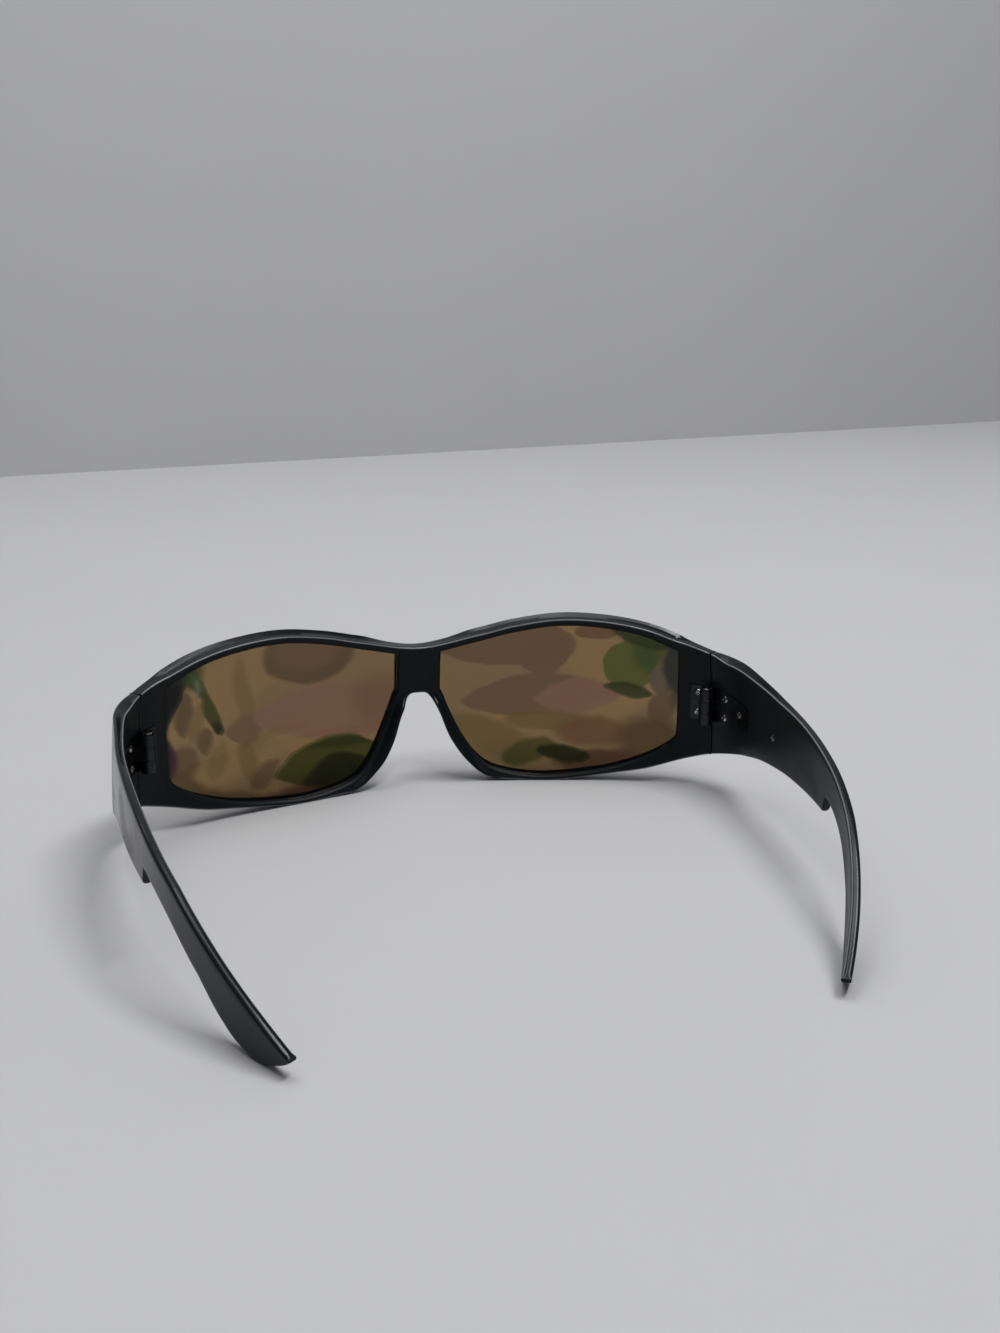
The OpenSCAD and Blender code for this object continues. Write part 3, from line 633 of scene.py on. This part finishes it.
# %% Lens shells
LENS_RINGS = np.array([1, 0.985, 0.96, 0.92, 0.86, 0.78, 0.7, 0.6, 0.5, 0.4, 0.3, 0.2, 0.1])
lens_middle = opening(0.5, 0.5)
lens_rim = np.array([a + (GROOVE_DEPTH - LENS_CLEARANCE) * unit(e - a) for a, e in stations])
ring_places = lens_middle + LENS_RINGS[:, None, None] * (lens_rim[None] - lens_middle)
lens_places = np.concatenate([ring_places.reshape(-1, 2), lens_middle[None]])
lens_shares = (lens_places - opening(0, 0)) / (LENS_WIDTH, LENS_HEIGHT)


def lens_face(w):
    return wrap(np.column_stack([lens_places, np.full(len(lens_places), w)]))


def lens_mesh(name, mirrored):
    back, outer = (lens_face(LENS_SEAT + way * LENS_THICKNESS / 2) for way in (-1, 1))
    faces, shift, last = [], len(back), len(LENS_RINGS) - 1
    for k in range(COUNT):
        k2 = (k + 1) % COUNT
        spoke = [(r * COUNT + k, (r + 1) * COUNT + k, (r + 1) * COUNT + k2, r * COUNT + k2)
                 for r in range(last)]
        for face in spoke + [(last * COUNT + k, (last + 1) * COUNT, last * COUNT + k2)]:
            faces += [face, tuple(i + shift for i in reversed(face))]
        faces.append((k, k2, k2 + shift, k + shift))
    piece = new_piece(name, np.vstack([back, outer]), faces, mirrored)
    # The dye and its painted reflections and shade are laid out in shares of the opening's width and
    # height, which the UV map keeps.
    shares = piece.data.uv_layers.new(name="shares")
    for loop in piece.data.loops:
        shares.data[loop.index].uv = lens_shares[loop.vertex_index % shift]
    return tidy_mesh(piece)


lenses = {side: lens_mesh(f"tinted_lens_{side}", sign < 0) for side, sign in SIDES.items()}

# %% [markdown]
# ## Hinges
# The leaves and knuckles are already the right shape in the frame. Stamped steel never has a knife
# edge, though, so a copy of each gets a small bevel that catches the light, and stands for the node.

# %% Bevelled hinge leaves
LEAF_BEVEL, BEVEL_ABOVE, FLAT_WITHIN = 0.12, math.radians(40), math.radians(1)
STEEL_DOUBLES, SLIT_WIDTH = 1e-6, 2e-6


def bevelled_copy(node, name):
    piece = new_object(name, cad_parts[node].data.copy())
    piece.data.materials.clear()
    shape = open_mesh(piece)
    bmesh.ops.remove_doubles(shape, verts=shape.verts, dist=STEEL_DOUBLES)
    bmesh.ops.dissolve_limit(shape, angle_limit=FLAT_WITHIN, verts=shape.verts, edges=shape.edges)
    close_mesh(shape, piece)
    bevel = piece.modifiers.new("bevel", "BEVEL")
    bevel.width, bevel.segments = LEAF_BEVEL * MM, 2
    bevel.limit_method, bevel.angle_limit = "ANGLE", BEVEL_ABOVE
    apply_modifiers(piece)
    # Where two bevels meet in one point, a slit can stay open: its rim is merged and filled.
    shape = open_mesh(piece)
    bmesh.ops.remove_doubles(shape, verts=shape.verts, dist=SLIT_WIDTH)
    bmesh.ops.holes_fill(shape, edges=[edge for edge in shape.edges if edge.is_boundary])
    close_mesh(shape, piece)
    return tidy_mesh(piece, STEEL_CREASE)


leaves, screws = {}, {}
for side in SIDES:
    leaves[f"front_hinge_{side}"] = bevelled_copy(f"front_hinge_{side}", f"front_leaf_{side}")
    leaves[f"temple_hinge_{side}"] = bevelled_copy(f"temple_hinge_{side}", f"temple_leaf_{side}")
    screws[side] = bevelled_copy(f"hinge_screw_{side}", f"slotted_screw_{side}")

# %% [markdown]
# ## Node trees
# Rivets and surfaces are made by node trees, written as nested calls. An input of a node is given a
# number, a colour or the output of another node, so a formula reads as it would on paper.

# %% Node helpers
def feed(tree, node, inputs):
    """Fills inputs by name or number: values are set, outputs are linked, a node is its first output."""
    for key, value in inputs.items():
        if isinstance(value, bpy.types.Node):
            value = value.outputs[0]
        if isinstance(value, bpy.types.NodeSocket):
            tree.links.new(value, node.inputs[key])
        else:
            node.inputs[key].default_value = value
    return node


def add(tree, kind, inputs=(), **settings):
    """A new node: settings say what kind of sum or texture it is, and inputs feed it."""
    node = tree.nodes.new(kind)
    for key, value in settings.items():
        setattr(node, key, value)
    return feed(tree, node, dict(inputs))


def maths(tree, *operations):
    """Functions for Math nodes in a tree, one for each operation, so that a sum is written plainly."""
    return [lambda *values, kind=kind: add(tree, "ShaderNodeMath", enumerate(values), operation=kind)
            for kind in operations]


def noise(tree, place, scale, detail, rough=0.5, bent=0.0, **settings):
    inputs = {"Vector": place, "Scale": scale, "Detail": detail, "Roughness": rough, "Distortion": bent}
    return add(tree, "ShaderNodeTexNoise", inputs, **settings)


def mask_of(tree, value, low, high, blend="SMOOTHSTEP"):
    """A mask that goes from 0 to 1 as a value goes from low to high."""
    inputs = {"Value": value, "From Min": low, "From Max": high}
    return add(tree, "ShaderNodeMapRange", inputs, interpolation_type=blend)


def use(tree, group, inputs=()):
    return add(tree, "ShaderNodeGroup", inputs, node_tree=group).outputs


def new_group(name, kind, inputs, outputs):
    """A node group; its sockets are given by a default number or, without one, by their type."""
    group = bpy.data.node_groups.new(name, kind)
    for way, sockets in (("INPUT", inputs), ("OUTPUT", outputs)):
        for title, value in sockets.items():
            number = not isinstance(value, str)
            socket = group.interface.new_socket(
                title, in_out=way, socket_type="NodeSocketFloat" if number else "NodeSocket" + value)
            if number:
                socket.default_value = value
    return group, add(group, "NodeGroupInput").outputs, add(group, "NodeGroupOutput")


# %% [markdown]
# ## Rivets
# Small semi-tubular rivets hold the leaves: a shank, a low domed head and a dimple where the setting
# tool pressed. They repeat, so a Geometry Nodes tree rolls a flat grid into one rivet, round its axis
# along one side and along its profile on the other, and sets it on every place, square to the plastic.

# %% Rivet tree
RIVET_SIZES = {"Head Radius": 0.9, "Head Height": 0.35, "Shank Radius": 0.55, "Shank Length": 1.5}
PROFILE_POINTS, SHANK_POINTS, TURN_STEPS, DIMPLE_SLOPE, RIVET_DOUBLES = 15, 3, 32, 0.8, 1e-6


def rivet_tree():
    tree, given, result = new_group(
        "rivets_on_places", "GeometryNodeTree",
        {"Geometry": "Geometry", **dict.fromkeys(RIVET_SIZES, 0.0), "Material": "Material"},
        {"Geometry": "Geometry"})

    plus, less, times, ratio, more_than = maths(tree, "ADD", "SUBTRACT", "MULTIPLY", "DIVIDE", "GREATER_THAN")
    most, least, whole, sine, cosine = maths(tree, "MAXIMUM", "MINIMUM", "ROUND", "SINE", "COSINE")
    sheet = add(tree, "GeometryNodeMeshGrid", {
        "Size X": 1, "Size Y": 1, "Vertices X": TURN_STEPS + 1, "Vertices Y": PROFILE_POINTS})
    spot = add(tree, "ShaderNodeSeparateXYZ", {0: add(tree, "GeometryNodeInputPosition")}).outputs
    angle = times(plus(spot["X"], 0.5), 2 * math.pi)
    index = whole(times(plus(spot["Y"], 0.5), PROFILE_POINTS - 1))
    # The first points are the shank with its end, the rest run over the dome to the dimple's middle.
    share = ratio(most(less(index, SHANK_POINTS), 0), PROFILE_POINTS - 1 - SHANK_POINTS)
    on_head = more_than(index, SHANK_POINTS - 0.5)
    off_head = less(1, on_head)
    head_reach = times(given["Head Radius"], less(1, share))
    shank_reach = times(given["Shank Radius"], least(1, index))
    radius = plus(times(on_head, head_reach), times(off_head, shank_reach))
    dome = sine(times(math.pi / 2, least(1, times(share, 2))))
    dimple = times(DIMPLE_SLOPE, most(0, less(share, 0.5)))
    rise = times(given["Head Height"], less(dome, dimple))
    sink = times(given["Shank Length"], less(most(0, less(index, 1)), 1))
    rolled = add(tree, "ShaderNodeCombineXYZ", {
        "X": times(radius, cosine(angle)), "Y": times(radius, sine(angle)),
        "Z": plus(times(on_head, rise), times(off_head, sink))})
    put = add(tree, "GeometryNodeSetPosition", {"Geometry": sheet, "Position": rolled})
    rivet = add(tree, "GeometryNodeMergeByDistance", {"Geometry": put, "Distance": RIVET_DOUBLES})
    way = add(tree, "GeometryNodeInputNamedAttribute", {"Name": "way"}, data_type="FLOAT_VECTOR")
    turn = add(tree, "FunctionNodeAlignRotationToVector", {"Vector": way.outputs["Attribute"]}, axis="Z")
    place = add(tree, "GeometryNodeInstanceOnPoints", {
        "Points": given["Geometry"], "Instance": rivet, "Rotation": turn})
    real = add(tree, "GeometryNodeRealizeInstances", {0: place})
    painted = add(tree, "GeometryNodeSetMaterial", {"Geometry": real, "Material": given["Material"]})
    feed(tree, result, {0: painted})
    return tree


rivets_on_places = rivet_tree()
print("rivet tree of", len(rivets_on_places.nodes), "nodes")

# %% [markdown]
# ## Materials
# The plastic is black all through. What tells its faces apart is the surface: polished outside, dull
# on the front's back faces and satin inside the temples. The grey line along the inner top edges is a
# painted highlight. Faint ripples come from the mould, and smudges and dust from handling.

# %% Surface groups
def handling_group():
    """Smudges and fine wiping marks, as masks from 0 to 1, and dust specks."""
    group, given, result = new_group(
        "handling_marks", "ShaderNodeTree", {"Smudge Size": 60.0, "Mark Size": 900.0, "Speck Size": 700.0},
        {"Smudges": "Float", "Marks": "Float", "Specks": "Float"})
    place = add(group, "ShaderNodeTexCoord").outputs["Object"]
    smudge = noise(group, place, given["Smudge Size"], 4.0, rough=0.55, bent=0.8)
    stretch = add(group, "ShaderNodeMapping", {
        "Vector": place, "Scale": (0.12, 1, 1), "Rotation": (0.5, 0.2, 0.3)})
    mark = noise(group, stretch, given["Mark Size"], 2.0, rough=0.6, bent=0.3)
    speck = add(group, "ShaderNodeTexVoronoi", {"Vector": place, "Scale": given["Speck Size"]}, feature="F1")
    feed(group, result, {
        "Smudges": mask_of(group, smudge, 0.45, 0.72), "Marks": mask_of(group, mark, 0.62, 0.72, "LINEAR"),
        "Specks": mask_of(group, speck, 0.09, 0.04, "LINEAR")})
    return group


def ripple_group():
    """The height of a moulded surface: long soft ripples and a fine grain."""
    group, given, result = new_group(
        "moulded_ripple", "ShaderNodeTree", {"Ripple Size": 110.0, "Grain Size": 2600.0, "Grain Share": 0.3},
        {"Height": "Float"})
    place = add(group, "ShaderNodeTexCoord").outputs["Object"]
    ripple, grain = (noise(group, place, given[size], detail)
                     for size, detail in (("Ripple Size", 1.0), ("Grain Size", 2.0)))
    height = add(group, "ShaderNodeMix", {0: given["Grain Share"], 2: ripple, 3: grain}, data_type="FLOAT")
    feed(group, result, {"Height": height})
    return group


handling_marks = handling_group()
moulded_ripple = ripple_group()
print("surface groups", handling_marks.name, moulded_ripple.name)


# %% Plastic
def new_material(name):
    """A material with its node tree and its shader."""
    material = bpy.data.materials.new(name)
    material.use_nodes = True
    return material, material.node_tree, material.node_tree.nodes["Principled BSDF"]


def mixed_colour(tree, mask, low, high):
    """Goes from one colour or colour output to another as a mask goes from 0 to 1."""
    low, high = ((*ink, 1) if isinstance(ink, tuple) else ink for ink in (low, high))
    return add(tree, "ShaderNodeMix", {0: mask, 6: low, 7: high}, data_type="RGBA").outputs[2]


def ranged(tree, mask, low, high):
    """Turns a mask from 0 to 1 into a value between two bounds."""
    return add(tree, "ShaderNodeMapRange", {"Value": mask, "To Min": low, "To Max": high})


BUMP_STRENGTH, NYLON_IOR = 0.35, 1.5


def plastic(name, colour, dust, roughness, specular, ripple_height=0.02, grain=0.5, ior=NYLON_IOR):
    """Black moulded nylon: ripple in its height, smudges in its gloss, a little dust in its colour."""
    material, tree, shader = new_material(name)
    marks = use(tree, handling_marks)
    ripple = use(tree, moulded_ripple, {"Grain Share": grain})
    bump = add(tree, "ShaderNodeBump", {
        "Strength": BUMP_STRENGTH, "Distance": ripple_height * MM, "Height": ripple["Height"]})
    feed(tree, shader, {
        "Base Color": mixed_colour(tree, marks["Specks"], colour, (dust, dust, dust)),
        "Roughness": ranged(tree, marks["Smudges"], *roughness), "Normal": bump,
        "IOR": ior, "Specular IOR Level": specular})
    return material


polished_plastic = plastic(
    "polished_black_plastic", (0.006, 0.008, 0.010), 0.09, (0.16, 0.28), 0.2, grain=0.1)
satin_plastic = plastic("satin_black_plastic", (0.004, 0.009, 0.012), 0.07, (0.36, 0.46), 0.32, ior=1.4)
dull_plastic = plastic("dull_black_plastic", (0.005, 0.008, 0.009), 0.05, (0.4, 0.5), 0.3, ior=1.3)
# The inner top edges carry a painted highlight: greyer, standing for the glint along the bevel, and smoother
# than the faces beside them.
painted_highlight_edge = plastic(
    "plastic_edge_painted_highlight", (0.16, 0.165, 0.17), 0.3, (0.2, 0.35), 0.5, ripple_height=0.01, grain=0.2)
print("four finishes of one plastic")

# %% [markdown]
# ## The lens tint, with painted reflections and shade
# The lenses are dyed brown. Over the brown, patches of rose, amber, olive and green are painted
# reflections, and the darker patches towards the outer edge and along the bottom are painted shade.
# They are drawn as soft-edged ellipses and pointed leaves, placed in shares of the lens's width and
# height, each with its tilt and colour.

# %% Lens tint
# Brown and amber are the dye. The patches use these and the other colours to paint reflections, and the
# darkest, at the outer edge and along the bottom, paint shade.
BROWN, AMBER, OLIVE = (0.24, 0.16, 0.077), (0.285, 0.18, 0.08), (0.17, 0.115, 0.045)
ROSE, RUST, MAROON_SHADE = (0.24, 0.13, 0.083), (0.165, 0.082, 0.04), (0.075, 0.034, 0.02)
UMBER, DUSK = (0.162, 0.1, 0.054), (0.11, 0.07, 0.035)
EARTH_SHADE, DUN = (0.085, 0.056, 0.027), (0.12, 0.09, 0.06)
FERN, LEAF, GREEN = (0.1, 0.106, 0.025), (0.042, 0.07, 0.018), (0.058, 0.058, 0.013)
MOSS, CORE, BEIGE = (0.03, 0.038, 0.01), (0.018, 0.019, 0.006), (0.14, 0.155, 0.09)
SHADE, SLATE_SHADE, PLUM = (0.001, 0.002, 0.002), (0.018, 0.025, 0.022), (0.044, 0.023, 0.03)


def patch_group():
    """A patch on the lens, 1 inside and 0 outside, from an ellipse to a pointed leaf."""
    group, given, result = new_group(
        "painted_light_patch", "ShaderNodeTree",
        {**dict.fromkeys(("Place", "Centre", "Tilt", "Reach"), "Vector"), "Softness": 0.1, "Point": 0.0},
        {"Mask": "Float"})
    plus, less, times, size_of = maths(group, "ADD", "SUBTRACT", "MULTIPLY", "ABSOLUTE")
    inside = add(group, "ShaderNodeMapping", {
        "Vector": given["Place"], "Location": given["Centre"], "Rotation": given["Tilt"],
        "Scale": given["Reach"]}, vector_type="TEXTURE")
    ellipse = add(group, "ShaderNodeVectorMath", {0: inside}, operation="LENGTH").outputs["Value"]
    # A leaf's outline is a parabola on each side: |y| = 1 - x squared.
    axes = add(group, "ShaderNodeSeparateXYZ", {0: inside}).outputs
    leaf = plus(size_of(axes["Y"]), times(axes["X"], axes["X"]))
    distance = add(group, "ShaderNodeMix", {0: given["Point"], 2: ellipse, 3: leaf}, data_type="FLOAT")
    soft = given["Softness"]
    feed(group, result, {"Mask": mask_of(group, distance, plus(1, soft), less(1, soft))})
    return group


painted_light_patch = patch_group()
LENS_SHAPE = LENS_HEIGHT / LENS_WIDTH
WANDER = 0.04
LENS_IOR, LENS_SPECULAR = 1.25, 0.3


def lens_paint(name, patches):
    """Patches as (u, v, half width, half height, tilt, softness, share, point, colour).

    The tilt is in degrees, and the other numbers are hundredths, on u and v of the lens's width and height.
    """
    material, tree, shader = new_material(name)

    def moved(operation, *values):
        return add(tree, "ShaderNodeVectorMath", enumerate(values), operation=operation)

    # Shares of the height are turned to shares of the width, so that a tilt keeps its angle.
    even = moved("MULTIPLY", add(tree, "ShaderNodeTexCoord").outputs["UV"], (1, LENS_SHAPE, 0))
    fine, broad = (noise(tree, even, scale, detail, noise_dimensions="2D")
                   for scale, detail in ((7.0, 2.0), (3.0, 1.0)))
    stray = moved("MULTIPLY_ADD", fine.outputs["Color"], (WANDER, WANDER, 0), (-WANDER / 2, -WANDER / 2, 0))
    there = moved("ADD", even, stray)
    tint_and_painted_light = mixed_colour(tree, mask_of(tree, broad, 0.42, 0.58), BROWN, AMBER)
    times = maths(tree, "MULTIPLY")[0]
    for *numbers, colour in patches:
        u, v, wide, high, tilt, soft, share, point = (number / 100 for number in numbers)
        patch = use(tree, painted_light_patch, {
            "Place": there, "Centre": (u, v * LENS_SHAPE, 0), "Tilt": (0, 0, math.radians(100 * tilt)),
            "Reach": (wide, high * LENS_SHAPE, 1), "Softness": soft, "Point": point})
        tint_and_painted_light = mixed_colour(tree, times(patch["Mask"], share), tint_and_painted_light, colour)
    feed(tree, shader, {"Base Color": tint_and_painted_light, "IOR": LENS_IOR, "Transmission Weight": 1.0, "Roughness": 0.0,
                        "Specular IOR Level": LENS_SPECULAR})
    print(name, "has", len(patches), "patches")
    return material


# The patches are painted reflections and, at the outer edge and along the bottom, painted shade.
LEFT_REFLECTIONS_AND_SHADE = [
    (36.8, 90, 19.5, 21.5, 3, 7, 85, 0, DUSK), (37, 93, 14.5, 15, 3, 15, 95, 0, UMBER),
    (25, 48, 37, 18.5, 4, 5, 85, 60, ROSE), (6, 55, 12, 16, 0, 50, 50, 0, RUST),
    (63.5, 66, 19, 5.5, 79, 25, 60, 0, OLIVE), (64.5, 45.5, 8, 10, 4, 6, 80, 100, UMBER),
    (64, 27, 11, 5, 87, 10, 70, 100, OLIVE), (53, 31, 8, 6, -35, 15, 60, 100, AMBER),
    (57, 17, 8.5, 6, -32, 8, 70, 100, DUSK), (28, 16.5, 25.5, 15.5, -5, 4, 97, 100, GREEN),
    (25, 26.5, 15, 3.2, 0, 15, 80, 100, MOSS), (27, 10, 15.5, 10, -12, 6, 95, 100, CORE),
    (74, 4, 36, 7, 14, 40, 80, 0, EARTH_SHADE), (42, 0, 20, 5, 2, 30, 80, 0, MAROON_SHADE),
    (93, 20, 12, 8, 30, 40, 75, 0, EARTH_SHADE), (76, 30, 8, 7, -60, 15, 50, 100, OLIVE),
    (81, 45, 5.5, 5.5, 100, 10, 80, 50, DUSK), (119, 92, 30, 95, 24.5, 3, 98, 0, SHADE),
    (88.5, 92, 9, 8, 60, 40, 85, 0, MOSS), (89.3, 64, 9.2, 6, 91, 6, 85, 100, DUSK),
    (83.8, 58, 8.5, 5, 112, 8, 60, 100, OLIVE), (83.8, 81, 10, 3.6, 59, 8, 97, 30, LEAF),
    (77.2, 60, 10.5, 3.6, 69, 8, 97, 30, GREEN), (75, 50, 3, 3, 69, 20, 90, 0, CORE),
    (83.5, 79, 5.5, 2.2, 81, 8, 90, 100, BEIGE), (90.5, 35, 5.5, 10, 0, 25, 75, 0, DUSK),
    (97.5, 38.5, 4.2, 12, 0, 12, 97, 0, PLUM), (104, 62, 8, 60, 0, 15, 97, 0, SHADE),
]
RIGHT_REFLECTIONS_AND_SHADE = [
    (60, 78, 11, 16, -10, 30, 90, 0, AMBER), (26, 89, 31, 18, -4, 4, 95, 0, UMBER),
    (44, 78, 10, 14, 20, 5, 95, 0, UMBER), (41, 50, 33.5, 14.5, 3, 4, 95, 100, UMBER),
    (58, 50, 19, 12, 6, 5, 90, 40, ROSE), (65, 95, 9, 5.5, 0, 8, 90, 0, RUST),
    (45, 33, 17, 7, 0, 20, 80, 0, OLIVE), (22, 22, 22, 11, -25, 30, 80, 0, OLIVE),
    (64, 26, 15, 9, 0, 25, 85, 0, RUST), (88, 24, 14, 15, 10, 40, 85, 0, EARTH_SHADE),
    (66, 9, 18, 6, 6, 30, 85, 0, MAROON_SHADE), (79, 73, 11.5, 16.5, 0, 5, 97, 0, FERN),
    (87, 80, 7.5, 12, 0, 40, 85, 0, LEAF), (85, 94.5, 14, 9, -12, 12, 95, 0, MOSS),
    (78.5, 55.5, 10, 4.5, -10, 8, 90, 100, MOSS), (37, 13, 12, 6.5, 12, 12, 80, 0, GREEN),
    (51.5, 12.2, 12, 5.2, -4, 8, 95, 60, CORE), (92, 45, 5.5, 10, 0, 20, 80, 0, DUSK),
    (91.2, 62.5, 4.8, 9, 0, 8, 90, 0, DUN), (99, 76, 6, 30, 0, 30, 93, 0, SLATE_SHADE),
]
lens_materials = {"left": lens_paint("left_lens_tint_and_painted_light", LEFT_REFLECTIONS_AND_SHADE),
                  "right": lens_paint("right_lens_tint_and_painted_light", RIGHT_REFLECTIONS_AND_SHADE)}

# %% Metals
def steel(name, mark_sizes, colour_mask, dark, light, gloss_mask, roughness):
    """Steel whose colour and gloss follow two of the handling masks."""
    material, tree, shader = new_material(name)
    marks = use(tree, handling_marks, mark_sizes)
    feed(tree, shader, {
        "Metallic": 1.0, "Base Color": mixed_colour(tree, marks[colour_mask], dark, light),
        "Roughness": ranged(tree, marks[gloss_mask], *roughness)})
    return material


black_steel = steel(
    "blackened_steel", {"Mark Size": 2500.0}, "Marks", (0.03, 0.032, 0.036), (0.14, 0.14, 0.145),
    "Smudges", (0.35, 0.5))
# The rivets' and screws' black coat is worn through in places, where the steel glints.
bright_steel = steel(
    "worn_bright_steel", {"Smudge Size": 1100.0, "Mark Size": 3000.0}, "Smudges", (0.12, 0.12, 0.125),
    (0.62, 0.62, 0.60), "Marks", (0.15, 0.3))
print("steels", black_steel.name, bright_steel.name)

# %% [markdown]
# ## Setting the rivets
# Two rivets hold each front leaf, three each temple leaf, and one more sits by itself in the temple.
# Their places are arc lengths and heights from the seam, as on a drilling jig.

# %% Rivets set on their places
LEAF_THICKNESS = 0.95
LEAF_FACE = LEAF_THICKNESS - LEAF_SINK
FRONT_RIVETS = [(-3.6, HINGE_HEIGHT - 2.6), (-3.6, HINGE_HEIGHT + 2.6)]
TEMPLE_RIVETS = [(4.6, HINGE_HEIGHT + 2.4), (4.6, HINGE_HEIGHT - 2.4), (10.4, HINGE_HEIGHT)]
REAR_RIVET, RIVET_SEAT = 28, 0.06


def rivet_places(places, rear=False):
    """Points on the leaves' inner faces and the way in from each towards the head."""
    points, beyond = (seam_frame(np.array([round_corner(s, y, z) for s, z in places]))
                      for y in (LEAF_FACE, LEAF_FACE + 1))
    if rear:
        spot = SEAM_PLACE + REAR_RIVET, HINGE_HEIGHT
        seat, off = wrap(np.array([[*spot, RIVET_SEAT], [*spot, RIVET_SEAT - 1]]))
        points, beyond = np.vstack([points, seat]), np.vstack([beyond, off])
    return points, beyond - points


def set_rivets(name, places, mirrored, rear=False):
    """The rivets of one node: the tree is given their places and sizes, and makes a plain mesh."""
    points, ways = rivet_places(places, rear)
    if mirrored:
        points, ways = points * [-1, 1, 1], ways * [-1, 1, 1]
    seed = new_piece(name, points, [])
    attribute = seed.data.attributes.new("way", "FLOAT_VECTOR", "POINT")
    attribute.data.foreach_set("vector", ways.astype(np.float32).ravel())
    node = seed.modifiers.new("rivets", "NODES")
    node.node_group = rivets_on_places
    for socket in rivets_on_places.interface.items_tree:
        if socket.name in RIVET_SIZES:
            node[socket.identifier] = RIVET_SIZES[socket.name] * MM
        elif socket.name == "Material":
            node[socket.identifier] = bright_steel
    apply_modifiers(seed)
    return tidy_mesh(seed, CARVED_CREASE)


rivet_sets = {}
for side, sign in SIDES.items():
    for node, name, places in (("front", "leaf", FRONT_RIVETS), ("temple", "arm", TEMPLE_RIVETS)):
        rivet_sets[f"{node}_rivets_{side}"] = set_rivets(
            f"{name}_rivets_{side}", places, sign < 0, rear=node == "temple")

# %% [markdown]
# ## Dressing the pieces
# Every new piece rides on the body that carries it and stands for its node in the frame.

# %% Materials, bodies and nodes
def dress(piece, node, body, slot, *materials):
    slots = piece.data.materials
    # The slots are filled one by one: clearing them would set every face back to the first.
    for number, material in enumerate(materials):
        if number < len(slots):
            slots[number] = material
        else:
            slots.append(material)
    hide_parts(node)
    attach(piece, body)
    print(piece.name, "stands for", node, "and rides on", body)


dress(front, "front_frame", "front", "frame_plastic", polished_plastic, dull_plastic, painted_highlight_edge)
for side in SIDES:
    arm = f"temple_{side}"
    dress(temples[side], arm, arm, "frame_plastic", polished_plastic, satin_plastic, painted_highlight_edge)
    dress(lenses[side], f"lens_{side}", "front", "lens_tint", lens_materials[side])
    dress(screws[side], f"hinge_screw_{side}", "front", "bright_metal", bright_steel)
    for kind, body in (("front", "front"), ("temple", arm)):
        leaf, rivets = f"{kind}_hinge_{side}", f"{kind}_rivets_{side}"
        dress(leaves[leaf], leaf, body, "hinge_metal", black_steel)
        dress(rivet_sets[rivets], rivets, body, "bright_metal")

# %% [markdown]
# ## The studio
# A pale table and a pale wall. A strip lamp overhead draws the lines along the arms, a broad one fills
# from above, and a tall one behind the left corner lights the edges as a window would.

# %% Floor, wall and lamps
FLOOR_REACH = 3000
WALL_LEFT, WALL_RIGHT, WALL_HEIGHT = (900, -480), (-1500, -900), 1800
STAGE_UNEVENNESS = 1.06


def stage_plane(name, corners, colour, roughness):
    plane = new_piece(name, corners, [(0, 1, 2, 3)])
    material, tree, shader = new_material(f"{name}_paint")
    place = add(tree, "ShaderNodeTexCoord").outputs["Object"]
    cloud = noise(tree, place, 6.0, 6.0)
    paler = tuple(v * STAGE_UNEVENNESS for v in colour)
    feed(tree, shader, {"Base Color": mixed_colour(tree, cloud, colour, paler),
                        "Roughness": roughness, "Specular IOR Level": 0.2})
    plane.data.materials.append(material)


table = [(x * FLOOR_REACH, y * FLOOR_REACH, 0) for x, y in ((-1, -1), (1, -1), (1, 1), (-1, 1))]
wall = [(*WALL_LEFT, 0), (*WALL_RIGHT, 0), (*WALL_RIGHT, WALL_HEIGHT), (*WALL_LEFT, WALL_HEIGHT)]
stage_plane("table", table, (0.49, 0.49, 0.50), 0.6)
stage_plane("wall", wall, (0.50, 0.50, 0.51), 0.8)


def soft_lamp(name, place, target, size, watts):
    data = bpy.data.lights.new(name, "AREA")
    data.shape = "RECTANGLE"
    data.size, data.size_y = size[0] * MM, size[1] * MM
    data.energy = watts
    aim(new_object(name, data), Vector(place), Vector(target))
    print(name, "lamp of", watts, "W")


soft_lamp("key", (-300, 280, 1150), (0, -20, 20), (800, 200), 7.6)
soft_lamp("top", (200, -300, 1300), (0, 0, 0), (1200, 560), 4)
soft_lamp("window", (420, -700, 470), (0, 0, 20), (220, 700), 1.4)
soft_lamp("wall_wash", (-200, -100, 1500), (-400, -800, 300), (1200, 400), 7.5)

world = bpy.data.worlds.new("studio")
bpy.context.scene.world = world
world.use_nodes = True
feed(world.node_tree, world.node_tree.nodes["Background"], {"Color": (0.9, 0.93, 1, 1), "Strength": 0.16})
bpy.context.scene.view_settings.view_transform = "Standard"
